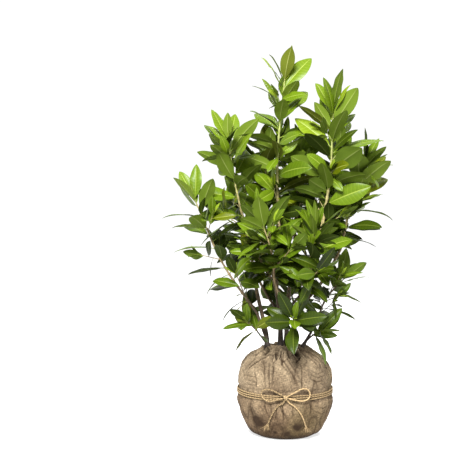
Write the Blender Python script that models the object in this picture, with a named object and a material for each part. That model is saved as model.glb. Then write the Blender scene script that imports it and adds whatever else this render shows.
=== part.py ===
"""A cherry laurel shrub standing on its root ball, wrapped in burlap and tied with twine."""

import collections
import math
import random

import bpy
from mathutils import Matrix, Vector
from mathutils.bvhtree import BVHTree

# Metres, +Z up. The origin is under the middle of the ball, on its flat underside.
CLEAR = 0.0003
UP = Vector((0, 0, 1))

# The burlap ball: (radius, height) from the edge of its underside to its gathered top.
BALL_OUTLINE = (
    (0.090, 0.0), (0.116, 0.014), (0.132, 0.040), (0.143, 0.066), (0.151, 0.092), (0.153, 0.116),
    (0.149, 0.129), (0.149, 0.157), (0.1525, 0.170), (0.151, 0.193), (0.143, 0.220),
    (0.129, 0.240), (0.109, 0.256), (0.078, 0.272), (0.072, 0.279),
)
BALL_TOP = BALL_OUTLINE[-1][1]
BALL_SIDES = 36
FOLD_DEPTH = 0.0022
PLEAT_DEPTH = 0.0035
PLEAT_FOOT = 0.225

# The twine: three turns round the waist, with a knot, two loops and two tails in front.
TWINE_RADIUS = 0.0024
WAIST_RADIUS = 0.149
WAIST_HEIGHT = 0.143
TURN_PITCH = 0.0064
TURN_SIDES = 4
BOW_SIDES = 6
KNOT_SIZE = Vector((0.0085, 0.0060, 0.0080))
KNOT_X = 0.0035
BOW_OUT = 0.1584
TAIL_LIFT = 0.0050
BOW_DROP = 0.02
KNOT_LIFT = 0.003
KNOT_SIDES = 8
KNOT_LATITUDES = (-72, -36, 0, 36, 72)

# Each loop leaves the middle of the knot and comes back to it, and each tail hangs from it.
# The points are (x, height, how far they stand out from the ball).
BOW = {
    "bow_loop_left": (
        (0.0035, 0.1475, 0), (-0.024, 0.162, 0.001), (-0.045, 0.170, 0.003), (-0.064, 0.169, 0.005),
        (-0.073, 0.158, 0.005), (-0.068, 0.143, 0.004), (-0.055, 0.135, 0.003), (-0.040, 0.134, 0.002),
        (-0.024, 0.139, 0.001), (0.0035, 0.1455, 0),
    ),
    "bow_loop_right": (
        (0.0035, 0.1480, 0), (0.031, 0.163, 0.001), (0.052, 0.173, 0.003), (0.068, 0.172, 0.005),
        (0.077, 0.160, 0.005), (0.076, 0.146, 0.004), (0.067, 0.138, 0.003), (0.052, 0.135, 0.002),
        (0.032, 0.139, 0.001), (0.0035, 0.1455, 0),
    ),
    "bow_tail_left": (
        (0.0015, 0.1420, 0), (-0.0065, 0.129, 0), (-0.022, 0.119, 0), (-0.035, 0.101, 0), (-0.045, 0.079, 0),
        (-0.054, 0.054, 0),
    ),
    "bow_tail_right": (
        (0.0055, 0.1420, 0), (0.0145, 0.130, 0), (0.032, 0.117, 0), (0.048, 0.097, 0), (0.058, 0.075, 0),
        (0.067, 0.045, 0),
    ),
}

# Foliage: angles in degrees, leaf widths and sections as shares of a leaf's length.
GOLDEN_ANGLE = math.radians(137.5)
LEAF_WIDTH = 0.36
LEAF_THICKNESS = 0.0018
STALK_SHARE = 0.08
BLADE_SECTIONS = (0.30, 0.74)
TWIG_RADIUS = 0.0020
TWIG_LEAVES = 4
TWIG_LEAF_SCALE = 0.82
TWIG_LEAF_START = 0.45
TWIG_LENGTH = (0.07, 0.12)
TWIG_LEAN = (38, 52)
TWIG_RISE = 0.015
LOWEST_TWIG = 0.12
TWIG_SPREAD = 0.5
STEM_TIP_RADIUS = 0.0014
STEM_RINGS = 6
LIMB_RINGS = 6
STEM_SIDES = 5
LIMB_SIDES = 6
TWIG_SIDES = 3
APEX_SHARE = 0.985
CROWDING = 1.35
TURN_SCATTER = 12
LOWEST_PITCH = 72
PITCH_FALL = 48
PITCH_SCATTER = 8
APEX_PITCH = (4, 14)
END_LEAF_SCALE = 0.84
MIDDLE_LEAF_GAIN = 0.24
LEAF_LENGTHS = (0.86, 1.12)
LEAF_WIDTHS = (0.9, 1.1)
ROLL_SCATTER = 38
BENDS = (12, 42)
FOLDS = (0.08, 0.28)
LEVELLING = 0.15
TEST_SWELL = 0.0007
LOWEST_LEAF = 0.225
BALL_CLEARANCE = 0.004

# A leaf that touches a neighbour is turned and tipped by one of these, in degrees, or left out.
NUDGES = (
    (0, 0), (12, 0), (-12, 0), (0, -12), (22, 6), (-22, 6), (34, -8), (-34, -8), (0, 16), (48, 0), (-48, 0),
)

# Trunks: foot and tip radius, then points from the foot up. A foot has no height: it stands on the ball.
TRUNKS = {
    "trunk_centre": (0.0085, 0.0050, (
        (-0.014, 0.000), (-0.016, 0.004, 0.370), (-0.028, 0.008, 0.500), (-0.020, 0.005, 0.640))),
    "trunk_left": (0.0080, 0.0045, (
        (-0.056, -0.018), (-0.063, -0.018, 0.340), (-0.092, -0.020, 0.470), (-0.110, -0.020, 0.600))),
    "trunk_right": (0.0080, 0.0050, (
        (0.016, -0.016), (0.036, -0.022, 0.390), (0.072, -0.022, 0.500), (0.106, -0.020, 0.605))),
    "trunk_low_right": (0.0055, 0.0035, ((0.053, -0.022), (0.074, -0.026, 0.315), (0.096, -0.030, 0.355))),
    "trunk_back": (0.0080, 0.0045, (
        (0.004, 0.044), (0.008, 0.060, 0.390), (0.018, 0.080, 0.500), (0.030, 0.090, 0.610))),
    "trunk_front": (0.0060, 0.0035, (
        (0.020, -0.053), (0.032, -0.080, 0.350), (0.046, -0.104, 0.410), (0.058, -0.118, 0.460))),
}

# Boughs: the limb that each leaves, how far up it, root and tip radius, then its points after the root.
BOUGHS = {
    "bough_left_outer": (
        "trunk_left", 0.16, 0.0050, 0.0042, ((-0.088, -0.040, 0.390),)),
    "bough_back_inner": (
        "trunk_centre", 0.42, 0.0048, 0.0038, ((-0.040, 0.036, 0.510), (-0.046, 0.050, 0.600))),
    "bough_right_outer": (
        "trunk_right", 0.36, 0.0052, 0.0042, ((0.120, 0.014, 0.490), (0.178, 0.038, 0.590))),
    "bough_centre_right": (
        "trunk_centre", 0.62, 0.0042, 0.0034, ((0.002, 0.016, 0.570),)),
    "bough_back_left": (
        "trunk_back", 0.22, 0.0050, 0.0040, ((-0.050, 0.096, 0.420), (-0.098, 0.130, 0.500))),
    "bough_back_right": (
        "trunk_back", 0.34, 0.0050, 0.0040, ((0.062, 0.112, 0.450), (0.100, 0.142, 0.530))),
    "bough_front_left": (
        "trunk_front", 0.30, 0.0042, 0.0034, ((-0.006, -0.112, 0.420), (-0.032, -0.124, 0.500))),
}

# Leafy masses: the limb that carries each and how far up it (1 is its tip), the tip and the bow of the
# mass's own stem, that stem's radius, its leaves and their length, its side twigs, how far up it the
# leaves begin, and the seed that its growth follows.
Shoot = collections.namedtuple("Shoot", "limb at tip bow radius leaves size twigs start seed")
SHOOTS = {
    "crown_top": Shoot(
        "trunk_centre", 1, (-0.002, -0.010, 1.142), (-0.014, 0, 0),
        0.0050, 23, 0.138, 2, 0.04, 106),
    "crown_left_upper": Shoot(
        "trunk_left", 1, (-0.182, -0.030, 0.942), (-0.006, -0.010, 0),
        0.0045, 21, 0.140, 1, 0.05, 109),
    "crown_right_upper": Shoot(
        "trunk_right", 1, (0.150, -0.030, 1.038), (0.012, 0, 0),
        0.0050, 24, 0.150, 1, 0.04, 70),
    "crown_left_outer": Shoot(
        "bough_left_outer", 1, (-0.290, -0.060, 0.765), (-0.012, 0, -0.020),
        0.0042, 20, 0.128, 1, 0.08, 83),
    "crown_right_outer": Shoot(
        "bough_right_outer", 1, (0.254, 0.050, 0.862), (-0.006, 0, 0),
        0.0042, 19, 0.150, 0, 0.06, 182),
    "crown_right_low": Shoot(
        "trunk_low_right", 1, (0.182, -0.040, 0.500), (-0.010, 0, 0.010),
        0.0035, 11, 0.110, 0, 0.08, 14),
    "crown_back_inner": Shoot(
        "bough_back_inner", 1, (-0.062, 0.060, 0.915), (-0.010, 0, 0),
        0.0038, 19, 0.135, 1, 0.05, 52),
    "crown_front_left": Shoot(
        "bough_front_left", 1, (-0.072, -0.165, 0.690), (0.010, -0.010, 0),
        0.0034, 15, 0.130, 1, 0.06, 104),
    "crown_front_right": Shoot(
        "trunk_front", 1, (0.090, -0.185, 0.670), (0, -0.010, 0),
        0.0035, 15, 0.125, 1, 0.06, 161),
    "crown_centre_right": Shoot(
        "bough_centre_right", 1, (0.058, 0.030, 0.830), (0.010, 0, 0),
        0.0034, 16, 0.125, 1, 0.06, 50),
    "crown_left_inner": Shoot(
        "trunk_right", 0.30, (-0.094, -0.080, 0.590), (0, 0, 0),
        0.0028, 12, 0.115, 0, 0.50, 181),
    "crown_back_left": Shoot(
        "bough_back_left", 1, (-0.150, 0.195, 0.745), (-0.010, 0.010, 0),
        0.0040, 18, 0.130, 1, 0.05, 19),
    "crown_back_right": Shoot(
        "bough_back_right", 1, (0.150, 0.205, 0.800), (0.010, 0.010, 0),
        0.0040, 19, 0.130, 1, 0.05, 102),
    "crown_back_top": Shoot(
        "trunk_back", 1, (0.050, 0.118, 0.925), (0, 0.010, 0),
        0.0045, 19, 0.130, 1, 0.05, 140),
    "crown_back_low": Shoot(
        "trunk_back", 0.12, (0.026, 0.180, 0.500), (0, 0.012, 0.008),
        0.0030, 12, 0.115, 1, 0.18, 28),
    "crown_base_right": Shoot(
        "trunk_low_right", 0.30, (0.112, -0.078, 0.340), (0, 0, 0.006),
        0.0024, 9, 0.100, 0, 0.30, 14),
    "crown_base_front": Shoot(
        "trunk_front", 0.18, (0.026, -0.148, 0.388), (0, 0, 0.006),
        0.0024, 11, 0.105, 0, 0.25, 161),
    "crown_base_left": Shoot(
        "trunk_left", 0.06, (-0.118, -0.058, 0.365), (0, 0, 0.006),
        0.0026, 10, 0.105, 0, 0.30, 32),
}

# Finishes: base colour and roughness.
BURLAP = ((0.50, 0.40, 0.26, 1), 0.95)
TWINE = ((0.62, 0.46, 0.26, 1), 0.90)
BARK = ((0.20, 0.13, 0.07, 1), 0.85)
FOLIAGE = ((0.13, 0.26, 0.04, 1), 0.45)

Leaf = collections.namedtuple("Leaf", "root heading face length width bend fold")
Plan = collections.namedtuple("Plan", "point along turn pitch length roll bend fold width")


class Route:
    """A smooth line through points, with a radius that changes evenly from its root to its tip."""

    def __init__(self, points, root_radius, tip_radius, first=None):
        self.points = [Vector(p) for p in points]
        self.radii = (root_radius, tip_radius)
        self.first = first

    def at(self, share):
        spans = len(self.points) - 1
        i = min(int(share * spans), spans - 1)
        t = share * spans - i
        b, c = self.points[i], self.points[i + 1]
        a = self.points[i - 1] if i else b * 2 - c
        d = self.points[i + 2] if i + 2 <= spans else c * 2 - b
        slope, curve, twist = c - a, a * 2 - b * 5 + c * 4 - d, b * 3 - a - c * 3 + d
        return b + (slope * t + curve * t ** 2 + twist * t ** 3) / 2

    def heading(self, share):
        if share == 0 and self.first:
            return self.first
        return (self.at(min(share + 0.01, 1)) - self.at(max(share - 0.01, 0))).normalized()

    def radius(self, share):
        return self.radii[0] + (self.radii[1] - self.radii[0]) * share


class Space:
    """The surfaces already placed, which a new bough, twig or leaf must not touch."""

    def __init__(self):
        self.taken = []

    def take(self, owner, shape):
        self.taken.append((owner, corners(shape), BVHTree.FromPolygons(*shape)))

    def free(self, shape, but=None):
        low, high = corners(shape)
        tree = BVHTree.FromPolygons(*shape)
        for owner, (near, far), other in self.taken:
            apart = any(far[i] < low[i] or high[i] < near[i] for i in range(3))
            if owner != but and not apart and tree.overlap(other):
                return False
        return True


def corners(shape):
    return [tuple(pick(v[i] for v in shape[0]) for i in range(3)) for pick in (min, max)]


def across(direction):
    """A unit vector square to a direction, level where it can be."""
    side = direction.cross(UP)
    return side.normalized() if side.length > 1e-4 else Vector((1, 0, 0))


def rings_joined(rings, closed):
    """(vertices, faces) of a skin over rings of equal count: a tube with flat ends, or a closed hoop."""
    sides = len(rings[0])
    vertices = [point for ring in rings for point in ring]
    faces = []
    for ring in range(len(rings) - (not closed)):
        low, high = ring * sides, (ring + 1) % len(rings) * sides
        for k in range(sides):
            n = (k + 1) % sides
            faces += [(low + k, low + n, high + n), (low + k, high + n, high + k)]
    if not closed:
        faces.append(tuple(reversed(range(sides))))
        faces.append(tuple(range(len(vertices) - sides, len(vertices))))
    return vertices, faces


def tube(route, rings, sides, swell=0.0):
    """(vertices, faces) of a tapering limb with a flat cut at each end."""
    found = []
    side = across(route.heading(0))
    for step in range(rings + 1):
        share = step / rings
        heading = route.heading(share)
        side = (side - heading * side.dot(heading)).normalized()
        other = heading.cross(side)
        ring = []
        for k in range(sides):
            angle = 2 * math.pi * k / sides
            out = side * math.cos(angle) + other * math.sin(angle)
            ring.append(route.at(share) + out * (route.radius(share) + swell))
        found.append(ring)
    return rings_joined(found, False)


def half_width(share):
    """Half a leaf's width at a share of its length, for a leaf one wide: a thin stalk, then the blade."""
    if share <= STALK_SHARE:
        return 0.03
    x = (share - STALK_SHARE) / (1 - STALK_SHARE)
    return 0.5 * max(math.sin(math.pi * x ** 1.05), 0) ** 0.74 + 0.01


def spine(leaf, share):
    """(point, heading, face) at a share of a leaf, which bends away from its face along an arc."""
    angle = leaf.bend * share
    along = leaf.length * math.sin(angle) / leaf.bend
    drop = leaf.length * (1 - math.cos(angle)) / leaf.bend
    point = leaf.root + leaf.heading * along - leaf.face * drop
    heading = leaf.heading * math.cos(angle) - leaf.face * math.sin(angle)
    return point, heading, leaf.face * math.cos(angle) + leaf.heading * math.sin(angle)


def leaf_section(leaf, share, swell):
    """Left edge, underside of the midrib and right edge of a leaf folded along its midrib."""
    point, heading, face = spine(leaf, share)
    reach = half_width(share) * leaf.width * leaf.length + swell
    edge = face * (reach * leaf.fold + swell)
    flat = heading.cross(face) * (reach * math.sqrt(1 - leaf.fold ** 2))
    return [point - flat + edge, point - face * (LEAF_THICKNESS + swell), point + flat + edge]


def leaf_solid(leaf, first=0.0, swell=0.0):
    """(vertices, faces) of a thin closed blade, from a share of its length to its tip."""
    sections = [leaf_section(leaf, share, swell) for share in (first,) + BLADE_SECTIONS]
    vertices, faces = rings_joined(sections, False)
    faces.pop()
    tip = len(vertices)
    vertices.append(spine(leaf, 1)[0])
    for k in range(3):
        faces.append((tip - 3 + k, tip - 3 + (k + 1) % 3, tip))
    return vertices, faces


def leaf_of(plan, turn_by, pitch_by):
    """The leaf of a plan, turned round its stem and tipped by small angles in degrees."""
    pitch = plan.pitch + math.radians(pitch_by)
    radial = Matrix.Rotation(plan.turn + math.radians(turn_by), 3, plan.along) @ across(plan.along)
    heading = (plan.along * math.cos(pitch) + radial * math.sin(pitch)).normalized()
    face = (plan.along - heading * plan.along.dot(heading)).normalized()
    level = UP - heading * UP.dot(heading)
    if level.length > 0.2:
        face = face * (1 - LEVELLING) + level.normalized() * LEVELLING
        face = (face - heading * face.dot(heading)).normalized()
    face = Matrix.Rotation(plan.roll, 3, heading) @ face
    return Leaf(plan.point, heading, face, plan.length, plan.width, plan.bend, plan.fold)


def leaf_plans(route, start, count, size, rng):
    """Leaves in a spiral up a stem, closer together and more upright towards its apex."""
    plans = []
    turn = rng.uniform(0, 2 * math.pi)
    for i in range(count):
        rise = i / (count - 1)
        share = start + (APEX_SHARE - start) * (1 - (1 - rise) ** CROWDING)
        turn += GOLDEN_ANGLE + math.radians(rng.gauss(0, TURN_SCATTER))
        pitch = math.radians(LOWEST_PITCH - PITCH_FALL * rise ** 1.4 + rng.gauss(0, PITCH_SCATTER))
        if i == count - 1:
            pitch = math.radians(rng.uniform(*APEX_PITCH))
        swelling = END_LEAF_SCALE + MIDDLE_LEAF_GAIN * math.sin(math.pi * rise ** 0.85)
        length = size * swelling * rng.uniform(*LEAF_LENGTHS)
        roll = math.radians(rng.gauss(0, ROLL_SCATTER))
        bend = math.radians(rng.uniform(*BENDS)) * (0.4 + 0.6 * math.sin(pitch))
        fold = rng.uniform(*FOLDS)
        width = LEAF_WIDTH * rng.uniform(*LEAF_WIDTHS)
        plans.append(Plan(
            route.at(share), route.heading(share), turn, pitch, length, roll, bend, fold, width))
    return plans


def twig_routes(shoot, route, rng):
    """Side twigs off a mass's stem, each turned on from the last."""
    twigs = []
    turn = rng.uniform(0, 2 * math.pi)
    for k in range(shoot.twigs):
        share = LOWEST_TWIG + TWIG_SPREAD * k / shoot.twigs + rng.uniform(0, 0.1)
        turn += GOLDEN_ANGLE
        along = route.heading(share)
        lean = math.radians(rng.uniform(*TWIG_LEAN))
        radial = Matrix.Rotation(turn, 3, along) @ across(along)
        out = (along * math.cos(lean) + radial * math.sin(lean)).normalized()
        root = route.at(share)
        tip = root + out * rng.uniform(*TWIG_LENGTH) + UP * TWIG_RISE
        twigs.append(Route((root, tip), TWIG_RADIUS, TWIG_RADIUS * 0.6))
    return twigs


def grow(shoot, route):
    """(twigs, plans for the leaves of the stem and of each twig) of one mass."""
    rng = random.Random(shoot.seed)
    plans = [leaf_plans(route, shoot.start, shoot.leaves, shoot.size, rng)]
    twigs = twig_routes(shoot, route, rng)
    for twig in twigs:
        plans.append(leaf_plans(twig, TWIG_LEAF_START, TWIG_LEAVES, shoot.size * TWIG_LEAF_SCALE, rng))
    return twigs, plans


def outline_radius(height):
    """The ball's radius at a height, from its outline."""
    for (low_radius, low), (high_radius, high) in zip(BALL_OUTLINE, BALL_OUTLINE[1:]):
        if low <= height <= high:
            return low_radius + (high_radius - low_radius) * (height - low) / (high - low)
    return 0.0


def ball_radius(angle, radius, height):
    """The burlap's radius: upright folds that die out at the waist, and pleats gathered at the top."""
    away = min(abs(height - WAIST_HEIGHT) / 0.05, 1) * min(height / 0.03, 1)
    folds = 0.5 * math.sin(7 * angle + 0.6) + 0.3 * math.sin(11 * angle + 2.1) + 0.2 * math.sin(4 * angle)
    gathered = max((height - PLEAT_FOOT) / (BALL_TOP - PLEAT_FOOT), 0)
    pleat = math.cos(BALL_SIDES / 2 * angle) * PLEAT_DEPTH / 2 * gathered
    return radius + FOLD_DEPTH * away * (folds - 0.6) + pleat


def ball_solid():
    """(vertices, faces) of the wrapped ball, flat below and at its gathered top."""
    rings = []
    for radius, height in BALL_OUTLINE:
        ring = []
        for k in range(BALL_SIDES):
            angle = 2 * math.pi * k / BALL_SIDES
            out = ball_radius(angle, radius, height)
            ring.append(Vector((out * math.cos(angle), out * math.sin(angle), height)))
        rings.append(ring)
    return rings_joined(rings, False)


def turn_solid(height):
    """(vertices, faces) of one turn of twine round the waist, its corners in line with the ball's."""
    rings = []
    middle = WAIST_RADIUS + CLEAR + TWINE_RADIUS
    reach = TWINE_RADIUS / math.cos(math.pi / TURN_SIDES)
    for k in range(BALL_SIDES):
        angle = 2 * math.pi * k / BALL_SIDES
        ring = []
        for j in range(TURN_SIDES):
            tilt = -2 * math.pi * (j + 0.5) / TURN_SIDES
            out = middle + reach * math.cos(tilt)
            rise = height + reach * math.sin(tilt)
            ring.append(Vector((out * math.cos(angle), out * math.sin(angle), rise)))
        rings.append(ring)
    return rings_joined(rings, True)


def bow_solid(points, knot):
    """(vertices, faces) of a loop or tail that lies on the turns of twine and on the ball."""
    line = []
    for x, height, further in points:
        out = BOW_OUT
        if height < WAIST_HEIGHT - BOW_DROP:
            out = min(out, outline_radius(height) + TAIL_LIFT)
        out += further
        line.append(Vector((x, -math.sqrt(out ** 2 - x ** 2), height)))
    for end, near in ((0, 1), (-1, -2)):
        if abs(line[end].x - KNOT_X) < KNOT_SIZE.x:
            line[end] = clear_start(line[end], line[near], TWINE_RADIUS, knot)
    return tube(Route(line, TWINE_RADIUS, TWINE_RADIUS), 2 * (len(line) - 1), BOW_SIDES)


def knot_solid():
    """(vertices, faces) of the knot, a squat egg in front of the turns."""
    depth = WAIST_RADIUS + 2 * TWINE_RADIUS + 2 * CLEAR + KNOT_SIZE.y
    middle = Vector((KNOT_X, -depth, WAIST_HEIGHT + KNOT_LIFT))
    rings = []
    for latitude in KNOT_LATITUDES:
        level, rise = math.cos(math.radians(latitude)), math.sin(math.radians(latitude))
        ring = []
        for k in range(KNOT_SIDES):
            around = 2 * math.pi * k / KNOT_SIDES
            out = Vector((level * math.cos(around), level * math.sin(around), rise))
            ring.append(middle + out * KNOT_SIZE)
        rings.append(ring)
    return rings_joined(rings, False)


def trunk_route(name):
    foot_radius, tip_radius, points = TRUNKS[name]
    foot = points[0] + (BALL_TOP + CLEAR,)
    return Route((foot,) + points[1:], foot_radius, tip_radius, UP)


def clear_start(root, towards, radius, blocker):
    """Where a limb from a root inside another solid comes just clear of that solid's surface."""
    out = (Vector(towards) - root).normalized()
    space = Space()
    space.take("blocker", blocker)
    distance = radius
    while True:
        test = Route((root + out * distance, root + out * (distance + 4 * radius)), radius, radius)
        if space.free(tube(test, 1, LIMB_SIDES, CLEAR)):
            return root + out * (distance + CLEAR)
        distance += CLEAR / 2


def limb_routes():
    """Every trunk and bough by name, each bough started on the side of the limb that it leaves."""
    routes = {name: trunk_route(name) for name in TRUNKS}
    for name, (limb, share, root_radius, tip_radius, points) in BOUGHS.items():
        parent = routes[limb]
        shape = tube(parent, LIMB_RINGS, LIMB_SIDES)
        start = clear_start(parent.at(share), points[0], root_radius, shape)
        routes[name] = Route((start,) + points, root_radius, tip_radius)
    return routes


def stem_route(shoot, limbs):
    """The own stem of a mass, from its bough's tip or from the side of a limb."""
    limb = limbs[shoot.limb]
    tip = Vector(shoot.tip)
    if shoot.at == 1:
        first = limb.heading(1)
        root = limb.at(1) + first * CLEAR
    else:
        first = None
        shape = tube(limb, LIMB_RINGS, LIMB_SIDES)
        root = clear_start(limb.at(shoot.at), tip, shoot.radius, shape)
    knee = (root + tip) / 2 + Vector(shoot.bow)
    return Route((root, knee, tip), shoot.radius, STEM_TIP_RADIUS, first)


def keeps_in(leaf):
    """Whether a leaf stays above the ball's shoulder and off its side."""
    for share in (0.5, 0.75, 1):
        point = spine(leaf, share)[0]
        if point.z < LOWEST_LEAF:
            return False
        if point.z < BALL_TOP + BALL_CLEARANCE and point.xy.length < outline_radius(point.z) + BALL_CLEARANCE:
            return False
    return True


def place_leaf(plan, name, space, blades):
    """The first nudge of a planned leaf that touches nothing, or None."""
    for turn_by, pitch_by in NUDGES:
        leaf = leaf_of(plan, turn_by, pitch_by)
        envelope = leaf_solid(leaf, 2 * STALK_SHARE, TEST_SWELL)
        if keeps_in(leaf) and space.free(leaf_solid(leaf, 0, TEST_SWELL), name) and blades.free(envelope):
            blades.take(name, envelope)
            return leaf
    return None


def grow_crown(limbs, space):
    """(stem, twigs, leaves) of each mass. Stems and twigs come first, so that every leaf keeps off them."""
    stems, grown = {}, {}
    for name, shoot in SHOOTS.items():
        stems[name] = stem_route(shoot, limbs)
        space.take(name, tube(stems[name], STEM_RINGS, STEM_SIDES))
    for name, shoot in SHOOTS.items():
        twigs, plans = grow(shoot, stems[name])
        kept, planned = [], list(plans[0])
        for twig, twig_plans in zip(twigs, plans[1:]):
            if space.free(tube(twig, 1, TWIG_SIDES, TEST_SWELL), name):
                space.take(name, tube(twig, 1, TWIG_SIDES))
                kept.append(twig)
                planned += twig_plans
        grown[name] = (stems[name], kept, planned)
    crown = {}
    for name, (stem, twigs, planned) in grown.items():
        blades = Space()
        leaves = [place_leaf(plan, name, space, blades) for plan in reversed(planned)]
        leaves = [leaf for leaf in leaves if leaf]
        for leaf in leaves:
            space.take(name, leaf_solid(leaf))
        crown[name] = (stem, twigs, leaves)
    return crown


def finish(name, colour, roughness):
    """A plain Principled material."""
    material = bpy.data.materials.new(name)
    material.use_nodes = True
    shader = material.node_tree.nodes["Principled BSDF"]
    shader.inputs["Base Color"].default_value = colour
    shader.inputs["Roughness"].default_value = roughness
    material.diffuse_color = colour
    return material


def add_object(name, shape, look, parent):
    """A named object of a solid, shaded smooth but for its sharp edges."""
    mesh = bpy.data.meshes.new(name)
    mesh.from_pydata(*shape_lists(shape))
    mesh.materials.append(finish(name + "_finish", *look))
    mesh.shade_smooth()
    mesh.set_sharp_from_angle(angle=math.radians(40))
    made = bpy.data.objects.new(name, mesh)
    made.parent = parent
    bpy.context.scene.collection.objects.link(made)
    return made


def shape_lists(shape):
    return [tuple(v) for v in shape[0]], [], shape[1]


def fuse(stem, shapes):
    """Joins the shapes to the stem by one Boolean union, and removes their objects again."""
    group = bpy.data.collections.new(stem.name + "_parts")
    bpy.context.scene.collection.children.link(group)
    for index, shape in enumerate(shapes):
        mesh = bpy.data.meshes.new(f"{stem.name}_part_{index}")
        mesh.from_pydata(*shape_lists(shape))
        group.objects.link(bpy.data.objects.new(mesh.name, mesh))
    union = stem.modifiers.new("union", "BOOLEAN")
    union.operation = "UNION"
    union.operand_type = "COLLECTION"
    union.collection = group
    union.solver = "EXACT"
    graph = bpy.context.evaluated_depsgraph_get()
    fused = bpy.data.meshes.new_from_object(stem.evaluated_get(graph))
    stem.modifiers.clear()
    stem.data = fused
    for part in list(group.objects):
        bpy.data.objects.remove(part)
    bpy.data.collections.remove(group)


def main():
    for old in list(bpy.data.objects):
        bpy.data.objects.remove(old)
    shrub = bpy.data.objects.new("shrub", None)
    bpy.context.scene.collection.objects.link(shrub)

    ball = ball_solid()
    add_object("root_ball", ball, BURLAP, shrub)
    for step, place in zip((-1, 0, 1), ("lower", "middle", "upper")):
        add_object("twine_turn_" + place, turn_solid(WAIST_HEIGHT + step * TURN_PITCH), TWINE, shrub)
    knot = knot_solid()
    add_object("bow_knot", knot, TWINE, shrub)
    for name, points in BOW.items():
        add_object(name, bow_solid(points, knot), TWINE, shrub)

    space = Space()
    space.take("root_ball", ball)
    limbs = limb_routes()
    for name, route in limbs.items():
        shape = tube(route, LIMB_RINGS, LIMB_SIDES)
        space.take(name, shape)
        add_object(name, shape, BARK, shrub)

    for name, (stem, twigs, leaves) in grow_crown(limbs, space).items():
        mass = add_object(name, tube(stem, STEM_RINGS, STEM_SIDES), FOLIAGE, shrub)
        shapes = [tube(twig, 1, TWIG_SIDES) for twig in twigs]
        fuse(mass, shapes + [leaf_solid(leaf) for leaf in leaves])


if __name__ == "__main__":
    main()
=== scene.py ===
import collections
import math
import random

import bpy
import numpy as np
from mathutils import Matrix, Vector, noise
from mathutils.bvhtree import BVHTree


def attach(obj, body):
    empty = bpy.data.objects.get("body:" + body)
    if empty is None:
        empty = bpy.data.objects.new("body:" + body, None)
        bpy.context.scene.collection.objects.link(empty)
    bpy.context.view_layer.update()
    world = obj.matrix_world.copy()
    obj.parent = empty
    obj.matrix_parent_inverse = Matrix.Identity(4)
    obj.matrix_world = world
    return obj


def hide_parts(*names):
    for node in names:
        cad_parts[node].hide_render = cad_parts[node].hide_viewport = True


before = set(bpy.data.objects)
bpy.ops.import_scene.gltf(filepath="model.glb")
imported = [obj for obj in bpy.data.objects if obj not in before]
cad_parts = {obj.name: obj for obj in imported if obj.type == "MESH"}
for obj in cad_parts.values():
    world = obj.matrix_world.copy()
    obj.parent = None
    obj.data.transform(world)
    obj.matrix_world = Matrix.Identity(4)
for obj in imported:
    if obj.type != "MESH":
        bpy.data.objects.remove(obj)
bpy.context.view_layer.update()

# Metres, +Z up. The shrub's rule of growth is the solids' own, so every bough and leaf stands where they do.
CLEAR = 0.0003
UP = Vector((0, 0, 1))

# The burlap ball: (radius, height) from the edge of its underside to its gathered top.
BALL_OUTLINE = (
    (0.090, 0.0), (0.116, 0.014), (0.132, 0.040), (0.143, 0.066), (0.151, 0.092), (0.153, 0.116),
    (0.149, 0.129), (0.149, 0.157), (0.1525, 0.170), (0.151, 0.193), (0.143, 0.220),
    (0.129, 0.240), (0.109, 0.256), (0.078, 0.272), (0.072, 0.279),
)
BALL_TOP = BALL_OUTLINE[-1][1]
BALL_SIDES = 36
FOLD_DEPTH = 0.0022
BROAD_FOLDS = ((0.5, 7, 0.6), (0.3, 11, 2.1), (0.2, 4, 0))
FOLD_LEVEL = 0.6
WAIST_CALM = 0.05
FOOT_CALM = 0.03
PLEAT_DEPTH = 0.0035
PLEAT_FOOT = 0.225

# Where the twine lies: three turns round the waist, with a knot, two loops and two tails in front.
TWINE_RADIUS = 0.0024
WAIST_RADIUS = 0.149
WAIST_HEIGHT = 0.143
TURN_PITCH = 0.0064
KNOT_DEPTH = 0.0060
KNOT_X = 0.0035
BOW_OUT = 0.1584
TAIL_LIFT = 0.0050
BOW_DROP = 0.02
KNOT_LIFT = 0.003

# Each loop leaves the middle of the knot and comes back to it, and each tail hangs from it.
# The points are (x, height, how far they stand out from the ball).
BOW = {
    "bow_loop_left": (
        (0.0035, 0.1475, 0), (-0.024, 0.162, 0.001), (-0.045, 0.170, 0.003), (-0.064, 0.169, 0.005),
        (-0.073, 0.158, 0.005), (-0.068, 0.143, 0.004), (-0.055, 0.135, 0.003), (-0.040, 0.134, 0.002),
        (-0.024, 0.139, 0.001), (0.0035, 0.1455, 0),
    ),
    "bow_loop_right": (
        (0.0035, 0.1480, 0), (0.031, 0.163, 0.001), (0.052, 0.173, 0.003), (0.068, 0.172, 0.005),
        (0.077, 0.160, 0.005), (0.076, 0.146, 0.004), (0.067, 0.138, 0.003), (0.052, 0.135, 0.002),
        (0.032, 0.139, 0.001), (0.0035, 0.1455, 0),
    ),
    "bow_tail_left": (
        (0.0015, 0.1420, 0), (-0.0065, 0.129, 0), (-0.022, 0.119, 0), (-0.035, 0.101, 0), (-0.045, 0.079, 0),
        (-0.054, 0.054, 0),
    ),
    "bow_tail_right": (
        (0.0055, 0.1420, 0), (0.0145, 0.130, 0), (0.032, 0.117, 0), (0.048, 0.097, 0), (0.058, 0.075, 0),
        (0.067, 0.045, 0),
    ),
}

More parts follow.
